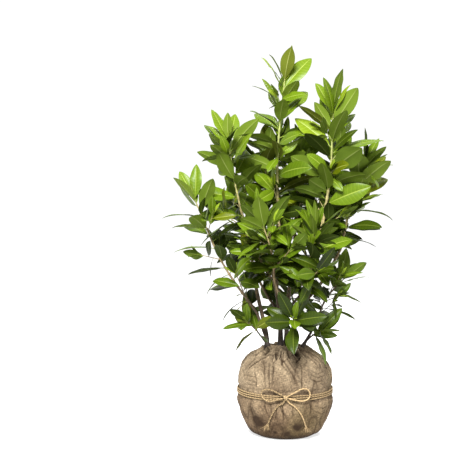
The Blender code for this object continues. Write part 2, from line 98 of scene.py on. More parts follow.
# Foliage: angles in degrees, leaf widths and sections as shares of a leaf's length.
GOLDEN_ANGLE = math.radians(137.5)
LEAF_WIDTH = 0.36
LEAF_THICKNESS = 0.0018
LEAF_LEAN = 1.05
LEAF_FULLNESS = 0.74
LEAF_EDGE = 0.01
STALK_SHARE = 0.08
STALK_WIDTH = 0.03
BLADE_SECTIONS = (0.30, 0.74)
TWIG_RADIUS = 0.0020
TWIG_LEAVES = 4
TWIG_LEAF_SCALE = 0.82
TWIG_LEAF_START = 0.45
TWIG_LENGTH = (0.07, 0.12)
TWIG_LEAN = (38, 52)
TWIG_RISE = 0.015
LOWEST_TWIG = 0.12
TWIG_SPREAD = 0.5
TWIG_TAPER = 0.6
STEM_TIP_RADIUS = 0.0014
STEM_RINGS = 6
LIMB_RINGS = 6
STEM_SIDES = 5
LIMB_SIDES = 6
TWIG_SIDES = 3
APEX_SHARE = 0.985
CROWDING = 1.35
TURN_SCATTER = 12
LOWEST_PITCH = 72
PITCH_FALL = 48
PITCH_CURVE = 1.4
PITCH_SCATTER = 8
APEX_PITCH = (4, 14)
END_LEAF_SCALE = 0.84
MIDDLE_LEAF_GAIN = 0.24
MIDDLE_LEAF_PLACE = 0.85
LEAF_LENGTHS = (0.86, 1.12)
LEAF_WIDTHS = (0.9, 1.1)
ROLL_SCATTER = 38
BENDS = (12, 42)
UPRIGHT_BEND = 0.4
FOLDS = (0.08, 0.28)
LEVELLING = 0.15
LEAST_LEVEL = 0.2
TEST_SWELL = 0.0007
LOWEST_LEAF = 0.225
BALL_CLEARANCE = 0.004
CHECKED_SHARES = (0.5, 0.75, 1)

# A leaf that touches a neighbour is turned and tipped by one of these, in degrees, or left out.
NUDGES = (
    (0, 0), (12, 0), (-12, 0), (0, -12), (22, 6), (-22, 6), (34, -8), (-34, -8), (0, 16), (48, 0), (-48, 0),
)

# Trunks: foot and tip radius, then points from the foot up. A foot has no height: it stands on the ball.
TRUNKS = {
    "trunk_centre": (0.0085, 0.0050, (
        (-0.014, 0.000), (-0.016, 0.004, 0.370), (-0.028, 0.008, 0.500), (-0.020, 0.005, 0.640))),
    "trunk_left": (0.0080, 0.0045, (
        (-0.056, -0.018), (-0.063, -0.018, 0.340), (-0.092, -0.020, 0.470), (-0.110, -0.020, 0.600))),
    "trunk_right": (0.0080, 0.0050, (
        (0.016, -0.016), (0.036, -0.022, 0.390), (0.072, -0.022, 0.500), (0.106, -0.020, 0.605))),
    "trunk_low_right": (0.0055, 0.0035, ((0.053, -0.022), (0.074, -0.026, 0.315), (0.096, -0.030, 0.355))),
    "trunk_back": (0.0080, 0.0045, (
        (0.004, 0.044), (0.008, 0.060, 0.390), (0.018, 0.080, 0.500), (0.030, 0.090, 0.610))),
    "trunk_front": (0.0060, 0.0035, (
        (0.020, -0.053), (0.032, -0.080, 0.350), (0.046, -0.104, 0.410), (0.058, -0.118, 0.460))),
}

# Boughs: the limb that each leaves, how far up it, root and tip radius, then its points after the root.
BOUGHS = {
    "bough_left_outer": (
        "trunk_left", 0.16, 0.0050, 0.0042, ((-0.088, -0.040, 0.390),)),
    "bough_back_inner": (
        "trunk_centre", 0.42, 0.0048, 0.0038, ((-0.040, 0.036, 0.510), (-0.046, 0.050, 0.600))),
    "bough_right_outer": (
        "trunk_right", 0.36, 0.0052, 0.0042, ((0.120, 0.014, 0.490), (0.178, 0.038, 0.590))),
    "bough_centre_right": (
        "trunk_centre", 0.62, 0.0042, 0.0034, ((0.002, 0.016, 0.570),)),
    "bough_back_left": (
        "trunk_back", 0.22, 0.0050, 0.0040, ((-0.050, 0.096, 0.420), (-0.098, 0.130, 0.500))),
    "bough_back_right": (
        "trunk_back", 0.34, 0.0050, 0.0040, ((0.062, 0.112, 0.450), (0.100, 0.142, 0.530))),
    "bough_front_left": (
        "trunk_front", 0.30, 0.0042, 0.0034, ((-0.006, -0.112, 0.420), (-0.032, -0.124, 0.500))),
}

# Leafy masses: the limb that carries each and how far up it (1 is its tip), the tip and the bow of the
# mass's own stem, that stem's radius, its leaves and their length, its side twigs, how far up it the
# leaves begin, and the seed that its growth follows.
Shoot = collections.namedtuple("Shoot", "limb at tip bow radius leaves size twigs start seed")
SHOOTS = {
    "crown_top": Shoot(
        "trunk_centre", 1, (-0.002, -0.010, 1.142), (-0.014, 0, 0),
        0.0050, 23, 0.138, 2, 0.04, 106),
    "crown_left_upper": Shoot(
        "trunk_left", 1, (-0.182, -0.030, 0.942), (-0.006, -0.010, 0),
        0.0045, 21, 0.140, 1, 0.05, 109),
    "crown_right_upper": Shoot(
        "trunk_right", 1, (0.150, -0.030, 1.038), (0.012, 0, 0),
        0.0050, 24, 0.150, 1, 0.04, 70),
    "crown_left_outer": Shoot(
        "bough_left_outer", 1, (-0.290, -0.060, 0.765), (-0.012, 0, -0.020),
        0.0042, 20, 0.128, 1, 0.08, 83),
    "crown_right_outer": Shoot(
        "bough_right_outer", 1, (0.254, 0.050, 0.862), (-0.006, 0, 0),
        0.0042, 19, 0.150, 0, 0.06, 182),
    "crown_right_low": Shoot(
        "trunk_low_right", 1, (0.182, -0.040, 0.500), (-0.010, 0, 0.010),
        0.0035, 11, 0.110, 0, 0.08, 14),
    "crown_back_inner": Shoot(
        "bough_back_inner", 1, (-0.062, 0.060, 0.915), (-0.010, 0, 0),
        0.0038, 19, 0.135, 1, 0.05, 52),
    "crown_front_left": Shoot(
        "bough_front_left", 1, (-0.072, -0.165, 0.690), (0.010, -0.010, 0),
        0.0034, 15, 0.130, 1, 0.06, 104),
    "crown_front_right": Shoot(
        "trunk_front", 1, (0.090, -0.185, 0.670), (0, -0.010, 0),
        0.0035, 15, 0.125, 1, 0.06, 161),
    "crown_centre_right": Shoot(
        "bough_centre_right", 1, (0.058, 0.030, 0.830), (0.010, 0, 0),
        0.0034, 16, 0.125, 1, 0.06, 50),
    "crown_left_inner": Shoot(
        "trunk_right", 0.30, (-0.094, -0.080, 0.590), (0, 0, 0),
        0.0028, 12, 0.115, 0, 0.50, 181),
    "crown_back_left": Shoot(
        "bough_back_left", 1, (-0.150, 0.195, 0.745), (-0.010, 0.010, 0),
        0.0040, 18, 0.130, 1, 0.05, 19),
    "crown_back_right": Shoot(
        "bough_back_right", 1, (0.150, 0.205, 0.800), (0.010, 0.010, 0),
        0.0040, 19, 0.130, 1, 0.05, 102),
    "crown_back_top": Shoot(
        "trunk_back", 1, (0.050, 0.118, 0.925), (0, 0.010, 0),
        0.0045, 19, 0.130, 1, 0.05, 140),
    "crown_back_low": Shoot(
        "trunk_back", 0.12, (0.026, 0.180, 0.500), (0, 0.012, 0.008),
        0.0030, 12, 0.115, 1, 0.18, 28),
    "crown_base_right": Shoot(
        "trunk_low_right", 0.30, (0.112, -0.078, 0.340), (0, 0, 0.006),
        0.0024, 9, 0.100, 0, 0.30, 14),
    "crown_base_front": Shoot(
        "trunk_front", 0.18, (0.026, -0.148, 0.388), (0, 0, 0.006),
        0.0024, 11, 0.105, 0, 0.25, 161),
    "crown_base_left": Shoot(
        "trunk_left", 0.06, (-0.118, -0.058, 0.365), (0, 0, 0.006),
        0.0026, 10, 0.105, 0, 0.30, 32),
}

Leaf = collections.namedtuple("Leaf", "root heading face length width bend fold")
Plan = collections.namedtuple("Plan", "point along turn pitch length roll bend fold width")

# Finer growth within each mass but those at the base: the seed that it follows, the extra leaves planned
# on the mass's stem, and the short twigs with small leaves.
FINER = {
    "crown_top": (25, 21, 5),
    "crown_left_upper": (24, 10, 3),
    "crown_right_upper": (25, 22, 5),
    "crown_left_outer": (15, 9, 3),
    "crown_right_outer": (36, 8, 5),
    "crown_right_low": (35, 8, 5),
    "crown_back_inner": (17, 13, 5),
    "crown_front_left": (1, 14, 4),
    "crown_front_right": (25, 14, 5),
    "crown_centre_right": (17, 10, 5),
    "crown_left_inner": (34, 11, 5),
    "crown_back_left": (34, 16, 5),
    "crown_back_right": (34, 17, 5),
    "crown_back_top": (16, 17, 5),
    "crown_back_low": (25, 11, 5),
}
FINE_START = 0.02
FINE_SIZE = 0.78
FINE_TWIG_TOP = 0.85
FINE_TWIG_LENGTH = (0.030, 0.065)
FINE_TWIG_RADIUS = 0.0015
FINE_TWIG_LEAVES = 4
FINE_TWIG_LEAF = 0.62
FINE_TWIG_LEAF_START = 0.4
FINE_STALK_FREE = 2.5
REACH_MARGIN = 0.004

# Young leaves closed up round the apex of each stem and twig: pitches in degrees, shares of the leaf size.
YOUNG_LEAVES = 3
YOUNG_START = 0.97
YOUNG_PITCH = (8, 26)
YOUNG_SIZE = (0.26, 0.44)
YOUNG_BENDS = (10, 24)
YOUNG_FOLDS = (0.25, 0.45)
YOUNG_WIDTH = 0.26

# The leaf blade's mesh: its rows run from the midrib outwards and forwards, as the side veins do. Depths and
# heights are shares of the leaf's length, strips are shares of its half width.
VEIN_PAIRS = 11
VEIN_STEPS = (0.0, 0.13, 0.56)
CRESTS = (0.0, 0.0, 1.0)
VEIN_SLANT = 0.42
RIB_SHARE = 0.055
STRIPS = (-1.0, -0.72, -0.38, -RIB_SHARE, 0.0, RIB_SHARE, 0.38, 0.72, 1.0)
RIB_STRIPS = slice(3, 5)
UNDER_ROWS = 3
UNDER_STRIPS = (0, 2, 3, 4, 5, 6, 8)
UNDER_RIB_STRIPS = slice(2, 4)
RIB_LINE = 0.01
EDGE_LINE = 0.9
BLADE_LEAN = 1.04
BLADE_FULLNESS = 0.80
BLADE_EDGE = 0.010
BLADE_WEDGE = 0.012
QUILT = 0.0042
QUILT_ROUND = 0.6
QUILT_REACH = 0.15
RIB_SINK = 0.0040
SINK_LIMIT = 0.3
RIB_RISE = 0.0060
RIB_TAPER = 0.8
BLADE_DEPTH = 0.0040
EDGE_DEPTH = 0.2 * BLADE_DEPTH
FOLD_ROUND = 1.25
MARGIN_DROP = 0.14
WAVE = (0.004, 0.015)
WAVES = (1.6, 3.2)
WAVE_PHASE = (0, 6.3)
BEND_STEPS = 40
TIP_CURL = (0.02, 0.42)
TIP_CURL_START = 0.70
TWIST = 0.35
SWAY = 0.022
STALK_RADIUS = 0.0013
STALK_FULL_SIZE = 0.13
STALK_TAPER = 0.25
STALK_RUN = 1.6
STALK_SIDES = 5
STALK_RINGS = 4

# Bark and stems: spacing of the rings, sides, how far a foot flares, how far the relief stands out.
RING_STEP = 0.0035
LENGTH_STEPS = 20
BARK_SIDES = 16
STEM_SKIN_SIDES = 8
FOOT_FLARE = 0.38
FLARE_FADE = 0.016
SUNK_FOOT = 0.005
RIDGE_DEPTH = 0.07
RIDGE_SCALE = 70
RIDGES_ROUND = 1.6
SWELLING_DEPTH = 0.10
SWELLING_SCALE = 45
NODE_SWELL = 0.38
NODE_LENGTH = 0.0042
STEM_RING_STEP = 0.0030

# The burlap's mesh and weave, and its folds that are seen in front, each as points (degrees round from the
# front, height), a depth (below zero for a ridge) and a width.
CLOTH_ROWS = 190
CLOTH_COLUMNS = 480
CLOTH_TOP = 0.281
THREAD_PITCH = 0.0026
FOLD_RADIUS = 0.15
SIDE_ROWS = slice(20, 160)
PROFILE_STEPS = 200
UNDERSIDE_RADII = (0.0, 0.045)
TOP_RADII = (0.050, 0.025, 0.0)
SEEN_FOLDS = (
    (((-30, 0.266), (-41, 0.248), (-54, 0.222)), 0.0100, 0.0025),
    (((-22, 0.274), (-14, 0.256)), 0.0085, 0.0022),
    (((40, 0.267), (45, 0.250), (50, 0.232)), 0.0100, 0.0024),
    (((-36, 0.250), (-29, 0.235), (-26, 0.205), (-24, 0.168)), 0.0030, 0.0024),
    (((-25, 0.250), (-22, 0.235), (-20, 0.205), (-18, 0.165)), 0.0030, 0.0022),
    (((-16, 0.240), (-15, 0.215), (-15, 0.180)), 0.0024, 0.0020),
    (((-44, 0.230), (-37, 0.195), (-36, 0.158)), 0.0020, 0.0024),
    (((24, 0.245), (21, 0.205), (20, 0.160)), 0.0024, 0.0022),
    (((-8, 0.262), (-1, 0.252), (9, 0.220), (14, 0.190), (17, 0.168)), 0.0026, 0.0030),
    (((0, 0.264), (5, 0.256), (15, 0.223), (23, 0.170)), 0.0022, 0.0026),
    (((36, 0.262), (29, 0.220), (28, 0.176)), -0.0022, 0.0040),
    (((78, 0.222), (79, 0.180), (84, 0.136), (86, 0.108)), 0.0050, 0.0036),
    (((-9, 0.126), (-10, 0.100), (-11, 0.070)), 0.0030, 0.0020),
    (((-3, 0.126), (-2, 0.098), (-1, 0.066)), 0.0032, 0.0020),
    (((-25, 0.126), (-24, 0.105), (-20, 0.082)), 0.0028, 0.0022),
    (((-17, 0.126), (-16, 0.108), (-15, 0.088)), 0.0024, 0.0018),
    (((30, 0.126), (33, 0.108), (33, 0.090)), 0.0022, 0.0020),
    (((64, 0.086), (64, 0.063), (62, 0.036)), 0.0045, 0.0030),
    (((-60, 0.200), (-46, 0.202), (-34, 0.199)), 0.0018, 0.0018),
    (((-58, 0.187), (-46, 0.188), (-32, 0.184)), 0.0020, 0.0018),
    (((-58, 0.172), (-46, 0.175), (-34, 0.173)), 0.0018, 0.0018),
    (((31, 0.203), (41, 0.187), (55, 0.190)), 0.0024, 0.0018),
    (((34, 0.213), (44, 0.199), (57, 0.203)), 0.0020, 0.0018),
    (((36, 0.222), (46, 0.211), (58, 0.215)), 0.0018, 0.0018),
    (((40, 0.110), (52, 0.100), (60, 0.104)), 0.0018, 0.0018),
    (((38, 0.095), (50, 0.084), (58, 0.088)), 0.0018, 0.0018),
    (((7, 0.129), (13, 0.101), (23, 0.074)), -0.0016, 0.0026),
    (((13, 0.128), (23, 0.096)), -0.0014, 0.0022),
    (((-62, 0.112), (-58, 0.073)), 0.0020, 0.0030),
    (((-18, 0.276), (-6, 0.266), (8, 0.270)), -0.0060, 0.0034),
    (((2, 0.259), (13, 0.255)), -0.0045, 0.0026),
    (((16, 0.276), (12, 0.262), (24, 0.252)), -0.0050, 0.0026),
    (((30, 0.272), (28, 0.260), (18, 0.250)), 0.0060, 0.0020),
    (((-6, 0.272), (-9, 0.258), (-2, 0.250)), 0.0060, 0.0020),
)

# Damp stains low on the cloth: degrees round from the front, height, half the width and half the height.
STAINS = (
    (-38, 0.056, 0.025, 0.030), (18, 0.049, 0.031, 0.023), (5, 0.026, 0.028, 0.018),
    (-14, 0.030, 0.010, 0.006), (95, 0.052, 0.022, 0.018), (150, 0.034, 0.026, 0.014),
    (205, 0.060, 0.020, 0.022), (262, 0.040, 0.024, 0.016),
)
STAIN_RAGGED = 330
STAIN_REACH = 1.25
STAIN_SOFT = 0.75

# How folds are pressed in: the banks beside them, their taper, and how far from the waist, from the ground
# and from the axis they have their full depth.
FOLD_GAIN = 1.5
BANK_GAIN = 0.40
BANK_PLACE = 2.1
BANK_WIDTH = 1.3
FOLD_RUN = 0.9
FOLD_START = 0.08
FOLD_FADES = (0.012, 0.012, 0.05)
# The fold depth at which the painted shade in a fold is darkest.
DARKEST_FOLD_SHADE = 0.0036

# Folds dealt out by rule: how many, their arc in degrees, their heads' and feet's heights, how far the feet
# drift in degrees, their depths and their widths.
Folds = collections.namedtuple("Folds", "count arc head feet drifts depths widths")
BACK_FOLDS = Folds(
    22, (64, 296), 0.274, (0.175, 0.245), (-10, 10), (0.0026, 0.0034, 0.0055, -0.0026), (0.0024, 0.0042))
LOW_FOLDS = Folds(
    20, (40, 320), 0.128, (0.045, 0.095), (-6, 6), (0.0018, 0.0028, -0.0018), (0.0022, 0.0036))
NECK_FOLDS = Folds(
    15, (-62, 62), 0.275, (0.236, 0.256), (-5, 5), (0.0026, 0.0036, -0.0024), (0.0020, 0.0032))
FOLD_SPACING = (0.1, 0.9)
SHOULDER = 0.255
BACK_DRIFT = 0.3
NECK_BEND = 0.262
NECK_DRIFT = 0.5
NECK_LEAN = 0.12
LEVEL_FOLDS = 12
LEVEL_ARC = (90, 270)
LEVEL_HEIGHTS = (0.17, 0.22)
LEVEL_REACH = 12
LEVEL_SAG = 0.004
LEVEL_DEPTH = 0.0012
LEVEL_WIDTH = 0.0020

# Gathers along the twine, pleats at the neck, and the cloth drawn up round each trunk.
WAIST_GATHERS = 46
GATHER_DEPTH = 0.0007
GATHER_PLACE = 0.016
GATHER_WIDTH = 0.009
NECK_FADE = 0.03
NECK_CORE = 0.055
NECK_DEPTH = 0.0046
# How dark the painted shade between the neck's pleats is.
NECK_PAINTED_SHADE = 0.0024
COLLAR_HEIGHT = 0.0055
COLLAR_WIDTH = 0.015
COLLAR_FOOT = 0.270

# Crumpled cloth: the depth, scale and shift of each layer of lumps, then sharp creases that come in patches.
LUMPS = ((0.0018, (22, 22, 22), 0), (0.0009, (65, 65, 65), 1), (0.0006, (60, 60, 240), 0))
CREASE_DEPTH = 0.0020
# How dark the painted shade in the creases is.
CREASE_PAINTED_SHADE = 1.4
CREASE_SCALE = (30, 30, 13)
CREASE_SHIFT = 5
CREASE_SHARPNESS = 2.6
PATCH_SCALE = (17, 17, 17)
PATCH_SHIFT = 9
PATCH_SHARE = 0.25
PATCH_EDGE = 2.2
CALM_REACH = 0.010

# Twine: plies, the length of one twist, sides of a ply, its loose fibres, and the cord and core of the knot.
PLIES = 3
PLY_SHARE = 0.50
PLY_FILL = 1.08
TWIST_PITCH = 0.0105
PLY_SIDES = 6
STEPS_PER_TWIST = 8
FIBRE_RADIUS = 0.00022
FIBRE_TAPER = 0.7
FIBRE_BEND = 0.25
FIBRE_RINGS = 5
FRAY_FIBRES = 90
FRAY_LENGTH = (0.013, 0.023)
FRAY_SPREAD = 0.24
FRAY_RADIUS = 0.0006
FRAY_TAPER = 0.3
FRAY_ROOT = (0.001, 0.006)
FRAY_WIDTH = 0.006
TURN_FUZZ = 30
BOW_FUZZ = 14
FUZZ_LENGTH = (0.003, 0.008)
FUZZ_ROOT = 0.6
TURN_WANDER = 0.0006
# Lit and shaded copies of one twine: the turns darker as painted shade, the bow lighter as painted light.
TURNS_PAINTED_SHADE = 0.85
BOW_PAINTED_LIGHT = 1.25
KNOT_CORD = 0.0028
KNOT_STEPS = 60
KNOT_WINDS = 1.75
KNOT_START = 0.3
KNOT_RUN = 0.0085
KNOT_REACH = (0.0042, 0.0056)
KNOT_TWISTS = 5
KNOT_CORE = 0.0052
KNOT_CORE_HALF = 0.008
KNOT_CORE_SIDES = 12
KNOT_CORE_TINT = 0.4

# Leaf tones: blade, side veins, midrib and stalk, underside, and the rib below.
# From bright down to shade the tones are partly the leaves' own and partly painted light and painted shade.
TONES_AND_PAINTED_SHADE = {
    "young": (
        (0.105, 0.150, 0.006), (0.135, 0.185, 0.014), (0.195, 0.240, 0.050), (0.105, 0.150, 0.014),
        (0.190, 0.230, 0.055)),
    "bright": (
        (0.074, 0.116, 0.005), (0.100, 0.148, 0.010), (0.165, 0.208, 0.036), (0.082, 0.122, 0.012),
        (0.160, 0.198, 0.048)),
    "fresh_and_lit": (
        (0.060, 0.099, 0.003), (0.082, 0.126, 0.006), (0.145, 0.186, 0.026), (0.076, 0.115, 0.011),
        (0.142, 0.178, 0.040)),
    "mid": (
        (0.040, 0.069, 0.002), (0.057, 0.090, 0.004), (0.112, 0.148, 0.020), (0.056, 0.087, 0.009),
        (0.110, 0.140, 0.032)),
    "deep": (
        (0.018, 0.031, 0.001), (0.028, 0.043, 0.002), (0.070, 0.092, 0.011), (0.027, 0.043, 0.005),
        (0.070, 0.090, 0.020)),
    "shade": (
        (0.009, 0.016, 0.001), (0.015, 0.024, 0.001), (0.046, 0.062, 0.008), (0.016, 0.026, 0.003),
        (0.046, 0.060, 0.013)),
    "olive": (
        (0.052, 0.067, 0.001), (0.070, 0.088, 0.003), (0.165, 0.185, 0.030), (0.072, 0.088, 0.009),
        (0.165, 0.180, 0.050)),
}
TONE_NAMES = list(TONES_AND_PAINTED_SHADE)

# Roughness and specular level of each kind of face, whose number picks its material within a tone.
LEAF_KINDS = {
    "blade": (0.34, 0.12), "vein": (0.38, 0.11), "rib": (0.42, 0.09), "under": (0.60, 0.03),
    "rib_under": (0.60, 0.03),
}
BLADE_FACE, VEIN_FACE, RIB_FACE, UNDER_FACE, UNDER_RIB_FACE = range(len(LEAF_KINDS))

# The tone above each limit: the higher a leaf in its mass and plant, the lighter, partly as painted light.
# Leaves low in the plant are darker as painted shade.
TONE_AND_SHADE_LIMITS = ((1.06, "young"), (0.82, "bright"), (0.50, "fresh_and_lit"), (0.32, "mid"), (0.16, "deep"))
TONE_SCATTER = 0.20
OLIVE_SHARE = 0.07
MASS_WEIGHT = 0.35
PLANT_WEIGHT = 0.65
PLANT_TOP = 1.15

# The stage: a floor that glows a little, so that it stays white, and the lamps' places, watts and sizes.
WORLD_LIGHT = 1.06
FLOOR_REACH = 30
FLOOR_WHITE = 0.35
FLOOR_GLOW = 0.68
LAMPS = {"key": ((-0.4, -2.7, 2.5), 400, 1.0), "back": ((0.8, 2.2, 2.7), 270, 1.3)}
LAMP_AIM = (0, 0, 0.6)
CAMERA_PLACE = (0, -3.4, 0.825)
CAMERA_AIM = (-0.1866, 0, 0.664)
CAMERA_LENS = 84.25


class Route:
    """A smooth line through points, with a radius that changes evenly from its root to its tip."""

    def __init__(self, points, root_radius, tip_radius, first=None):
        self.points = [Vector(p) for p in points]
        self.radii = (root_radius, tip_radius)
        self.first = first

    def at(self, share):
        spans = len(self.points) - 1
        i = min(int(share * spans), spans - 1)
        t = share * spans - i
        b, c = self.points[i], self.points[i + 1]
        a = self.points[i - 1] if i else b * 2 - c
        d = self.points[i + 2] if i + 2 <= spans else c * 2 - b
        slope, curve, twist = c - a, a * 2 - b * 5 + c * 4 - d, b * 3 - a - c * 3 + d
        return b + (slope * t + curve * t ** 2 + twist * t ** 3) / 2

    def heading(self, share):
        if share == 0 and self.first:
            return self.first
        return (self.at(min(share + 0.01, 1)) - self.at(max(share - 0.01, 0))).normalized()

    def radius(self, share):
        return self.radii[0] + (self.radii[1] - self.radii[0]) * share


class Space:
    """The surfaces already placed, which a new bough, twig or leaf must not touch."""

    def __init__(self):
        self.taken = []

    def take(self, owner, shape):
        self.taken.append((owner, corners(shape), BVHTree.FromPolygons(*shape)))

    def free(self, shape, but=None):
        low, high = corners(shape)
        tree = BVHTree.FromPolygons(*shape)
        for owner, (near, far), other in self.taken:
            apart = any(far[i] < low[i] or high[i] < near[i] for i in range(3))
            if owner != but and not apart and tree.overlap(other):
                return False
        return True


def corners(shape):
    return [tuple(pick(v[i] for v in shape[0]) for i in range(3)) for pick in (min, max)]


def across(direction):
    """A unit vector square to a direction, level where it can be."""
    side = direction.cross(UP)
    return side.normalized() if side.length > 1e-4 else Vector((1, 0, 0))


def rings_joined(rings, closed):
    """(vertices, faces) of a skin over rings of equal count: a tube with flat ends, or a closed hoop."""
    sides = len(rings[0])
    vertices = [point for ring in rings for point in ring]
    faces = []
    for ring in range(len(rings) - (not closed)):
        low, high = ring * sides, (ring + 1) % len(rings) * sides
        for k in range(sides):
            n = (k + 1) % sides
            faces += [(low + k, low + n, high + n), (low + k, high + n, high + k)]
    if not closed:
        faces.append(tuple(reversed(range(sides))))
        faces.append(tuple(range(len(vertices) - sides, len(vertices))))
    return vertices, faces


def tube(route, rings, sides, swell=0.0):
    """(vertices, faces) of a tapering limb with a flat cut at each end."""
    found = []
    side = across(route.heading(0))
    for step in range(rings + 1):
        share = step / rings
        heading = route.heading(share)
        side = (side - heading * side.dot(heading)).normalized()
        other = heading.cross(side)
        ring = []
        for k in range(sides):
            angle = 2 * math.pi * k / sides
            out = side * math.cos(angle) + other * math.sin(angle)
            ring.append(route.at(share) + out * (route.radius(share) + swell))
        found.append(ring)
    return rings_joined(found, False)


def half_width(share):
    """Half a leaf's width at a share of its length, for a leaf one wide: a thin stalk, then the blade."""
    if share <= STALK_SHARE:
        return STALK_WIDTH
    x = (share - STALK_SHARE) / (1 - STALK_SHARE)
    return 0.5 * max(math.sin(math.pi * x ** LEAF_LEAN), 0) ** LEAF_FULLNESS + LEAF_EDGE


def spine(leaf, share):
    """(point, heading, face) at a share of a leaf, which bends away from its face along an arc."""
    angle = leaf.bend * share
    along = leaf.length * math.sin(angle) / leaf.bend
    drop = leaf.length * (1 - math.cos(angle)) / leaf.bend
    point = leaf.root + leaf.heading * along - leaf.face * drop
    heading = leaf.heading * math.cos(angle) - leaf.face * math.sin(angle)
    return point, heading, leaf.face * math.cos(angle) + leaf.heading * math.sin(angle)


def leaf_section(leaf, share, swell):
    """Left edge, underside of the midrib and right edge of a leaf folded along its midrib."""
    point, heading, face = spine(leaf, share)
    reach = half_width(share) * leaf.width * leaf.length + swell
    edge = face * (reach * leaf.fold + swell)
    flat = heading.cross(face) * (reach * math.sqrt(1 - leaf.fold ** 2))
    return [point - flat + edge, point - face * (LEAF_THICKNESS + swell), point + flat + edge]


def leaf_solid(leaf, first=0.0, swell=0.0):
    """(vertices, faces) of a thin closed blade, from a share of its length to its tip."""
    sections = [leaf_section(leaf, share, swell) for share in (first,) + BLADE_SECTIONS]
    vertices, faces = rings_joined(sections, False)
    faces.pop()
    tip = len(vertices)
    vertices.append(spine(leaf, 1)[0])
    for k in range(3):
        faces.append((tip - 3 + k, tip - 3 + (k + 1) % 3, tip))
    return vertices, faces


def leaf_of(plan, turn_by, pitch_by):
    """The leaf of a plan, turned round its stem and tipped by small angles in degrees."""
    pitch = plan.pitch + math.radians(pitch_by)
    radial = Matrix.Rotation(plan.turn + math.radians(turn_by), 3, plan.along) @ across(plan.along)
    heading = (plan.along * math.cos(pitch) + radial * math.sin(pitch)).normalized()
    face = (plan.along - heading * plan.along.dot(heading)).normalized()
    level = UP - heading * UP.dot(heading)
    if level.length > LEAST_LEVEL:
        face = face * (1 - LEVELLING) + level.normalized() * LEVELLING
        face = (face - heading * face.dot(heading)).normalized()
    face = Matrix.Rotation(plan.roll, 3, heading) @ face
    return Leaf(plan.point, heading, face, plan.length, plan.width, plan.bend, plan.fold)


def leaf_plans(route, start, count, size, rng):
    """Leaves in a spiral up a stem, closer together and more upright towards its apex."""
    plans = []
    turn = rng.uniform(0, 2 * math.pi)
    for i in range(count):
        rise = i / (count - 1)
        share = start + (APEX_SHARE - start) * (1 - (1 - rise) ** CROWDING)
        turn += GOLDEN_ANGLE + math.radians(rng.gauss(0, TURN_SCATTER))
        pitch = math.radians(LOWEST_PITCH - PITCH_FALL * rise ** PITCH_CURVE + rng.gauss(0, PITCH_SCATTER))
        if i == count - 1:
            pitch = math.radians(rng.uniform(*APEX_PITCH))
        swelling = END_LEAF_SCALE + MIDDLE_LEAF_GAIN * math.sin(math.pi * rise ** MIDDLE_LEAF_PLACE)
        length = size * swelling * rng.uniform(*LEAF_LENGTHS)
        roll = math.radians(rng.gauss(0, ROLL_SCATTER))
        bend = math.radians(rng.uniform(*BENDS)) * (UPRIGHT_BEND + (1 - UPRIGHT_BEND) * math.sin(pitch))
        fold = rng.uniform(*FOLDS)
        width = LEAF_WIDTH * rng.uniform(*LEAF_WIDTHS)
        plans.append(Plan(
            route.at(share), route.heading(share), turn, pitch, length, roll, bend, fold, width))
    return plans


def side_twig(route, share, turn, lengths, rise, radius, rng):
    """A straight twig off a stem, turned round it and lifted a little."""
    along = route.heading(share)
    lean = math.radians(rng.uniform(*TWIG_LEAN))
    radial = Matrix.Rotation(turn, 3, along) @ across(along)
    out = (along * math.cos(lean) + radial * math.sin(lean)).normalized()
    root = route.at(share)
    tip = root + out * rng.uniform(*lengths) + UP * rise
    return Route((root, tip), radius, radius * TWIG_TAPER)


def twig_routes(shoot, route, rng):
    """Side twigs off a mass's stem, each turned on from the last."""
    twigs = []
    turn = rng.uniform(0, 2 * math.pi)
    for k in range(shoot.twigs):
        share = LOWEST_TWIG + TWIG_SPREAD * k / shoot.twigs + rng.uniform(0, 0.1)
        turn += GOLDEN_ANGLE
        twigs.append(side_twig(route, share, turn, TWIG_LENGTH, TWIG_RISE, TWIG_RADIUS, rng))
    return twigs


def grow(shoot, route):
    """(twigs, plans for the leaves of the stem and of each twig) of one mass."""
    rng = random.Random(shoot.seed)
    plans = [leaf_plans(route, shoot.start, shoot.leaves, shoot.size, rng)]
    twigs = twig_routes(shoot, route, rng)
    for twig in twigs:
        plans.append(leaf_plans(twig, TWIG_LEAF_START, TWIG_LEAVES, shoot.size * TWIG_LEAF_SCALE, rng))
    return twigs, plans


def outline_radius(height):
    """The ball's radius at a height, from its outline."""
    for (low_radius, low), (high_radius, high) in zip(BALL_OUTLINE, BALL_OUTLINE[1:]):
        if low <= height <= high:
            return low_radius + (high_radius - low_radius) * (height - low) / (high - low)
    return 0.0


def ball_radius(angle, radius, height):
    """The burlap's radius: upright folds that die out at the waist, and pleats gathered at the top."""
    away = min(abs(height - WAIST_HEIGHT) / WAIST_CALM, 1) * min(height / FOOT_CALM, 1)
    folds = sum(part * math.sin(count * angle + start) for part, count, start in BROAD_FOLDS)
    gathered = max((height - PLEAT_FOOT) / (BALL_TOP - PLEAT_FOOT), 0)
    pleat = math.cos(BALL_SIDES / 2 * angle) * PLEAT_DEPTH / 2 * gathered
    return radius + FOLD_DEPTH * away * (folds - FOLD_LEVEL) + pleat


def ball_solid():
    """(vertices, faces) of the wrapped ball, flat below and at its gathered top."""
    rings = []
    for radius, height in BALL_OUTLINE:
        ring = []
        for k in range(BALL_SIDES):
            angle = 2 * math.pi * k / BALL_SIDES
            out = ball_radius(angle, radius, height)
            ring.append(Vector((out * math.cos(angle), out * math.sin(angle), height)))
        rings.append(ring)
    return rings_joined(rings, False)


def trunk_route(name):
    foot_radius, tip_radius, points = TRUNKS[name]
    foot = points[0] + (BALL_TOP + CLEAR,)
    return Route((foot,) + points[1:], foot_radius, tip_radius, UP)


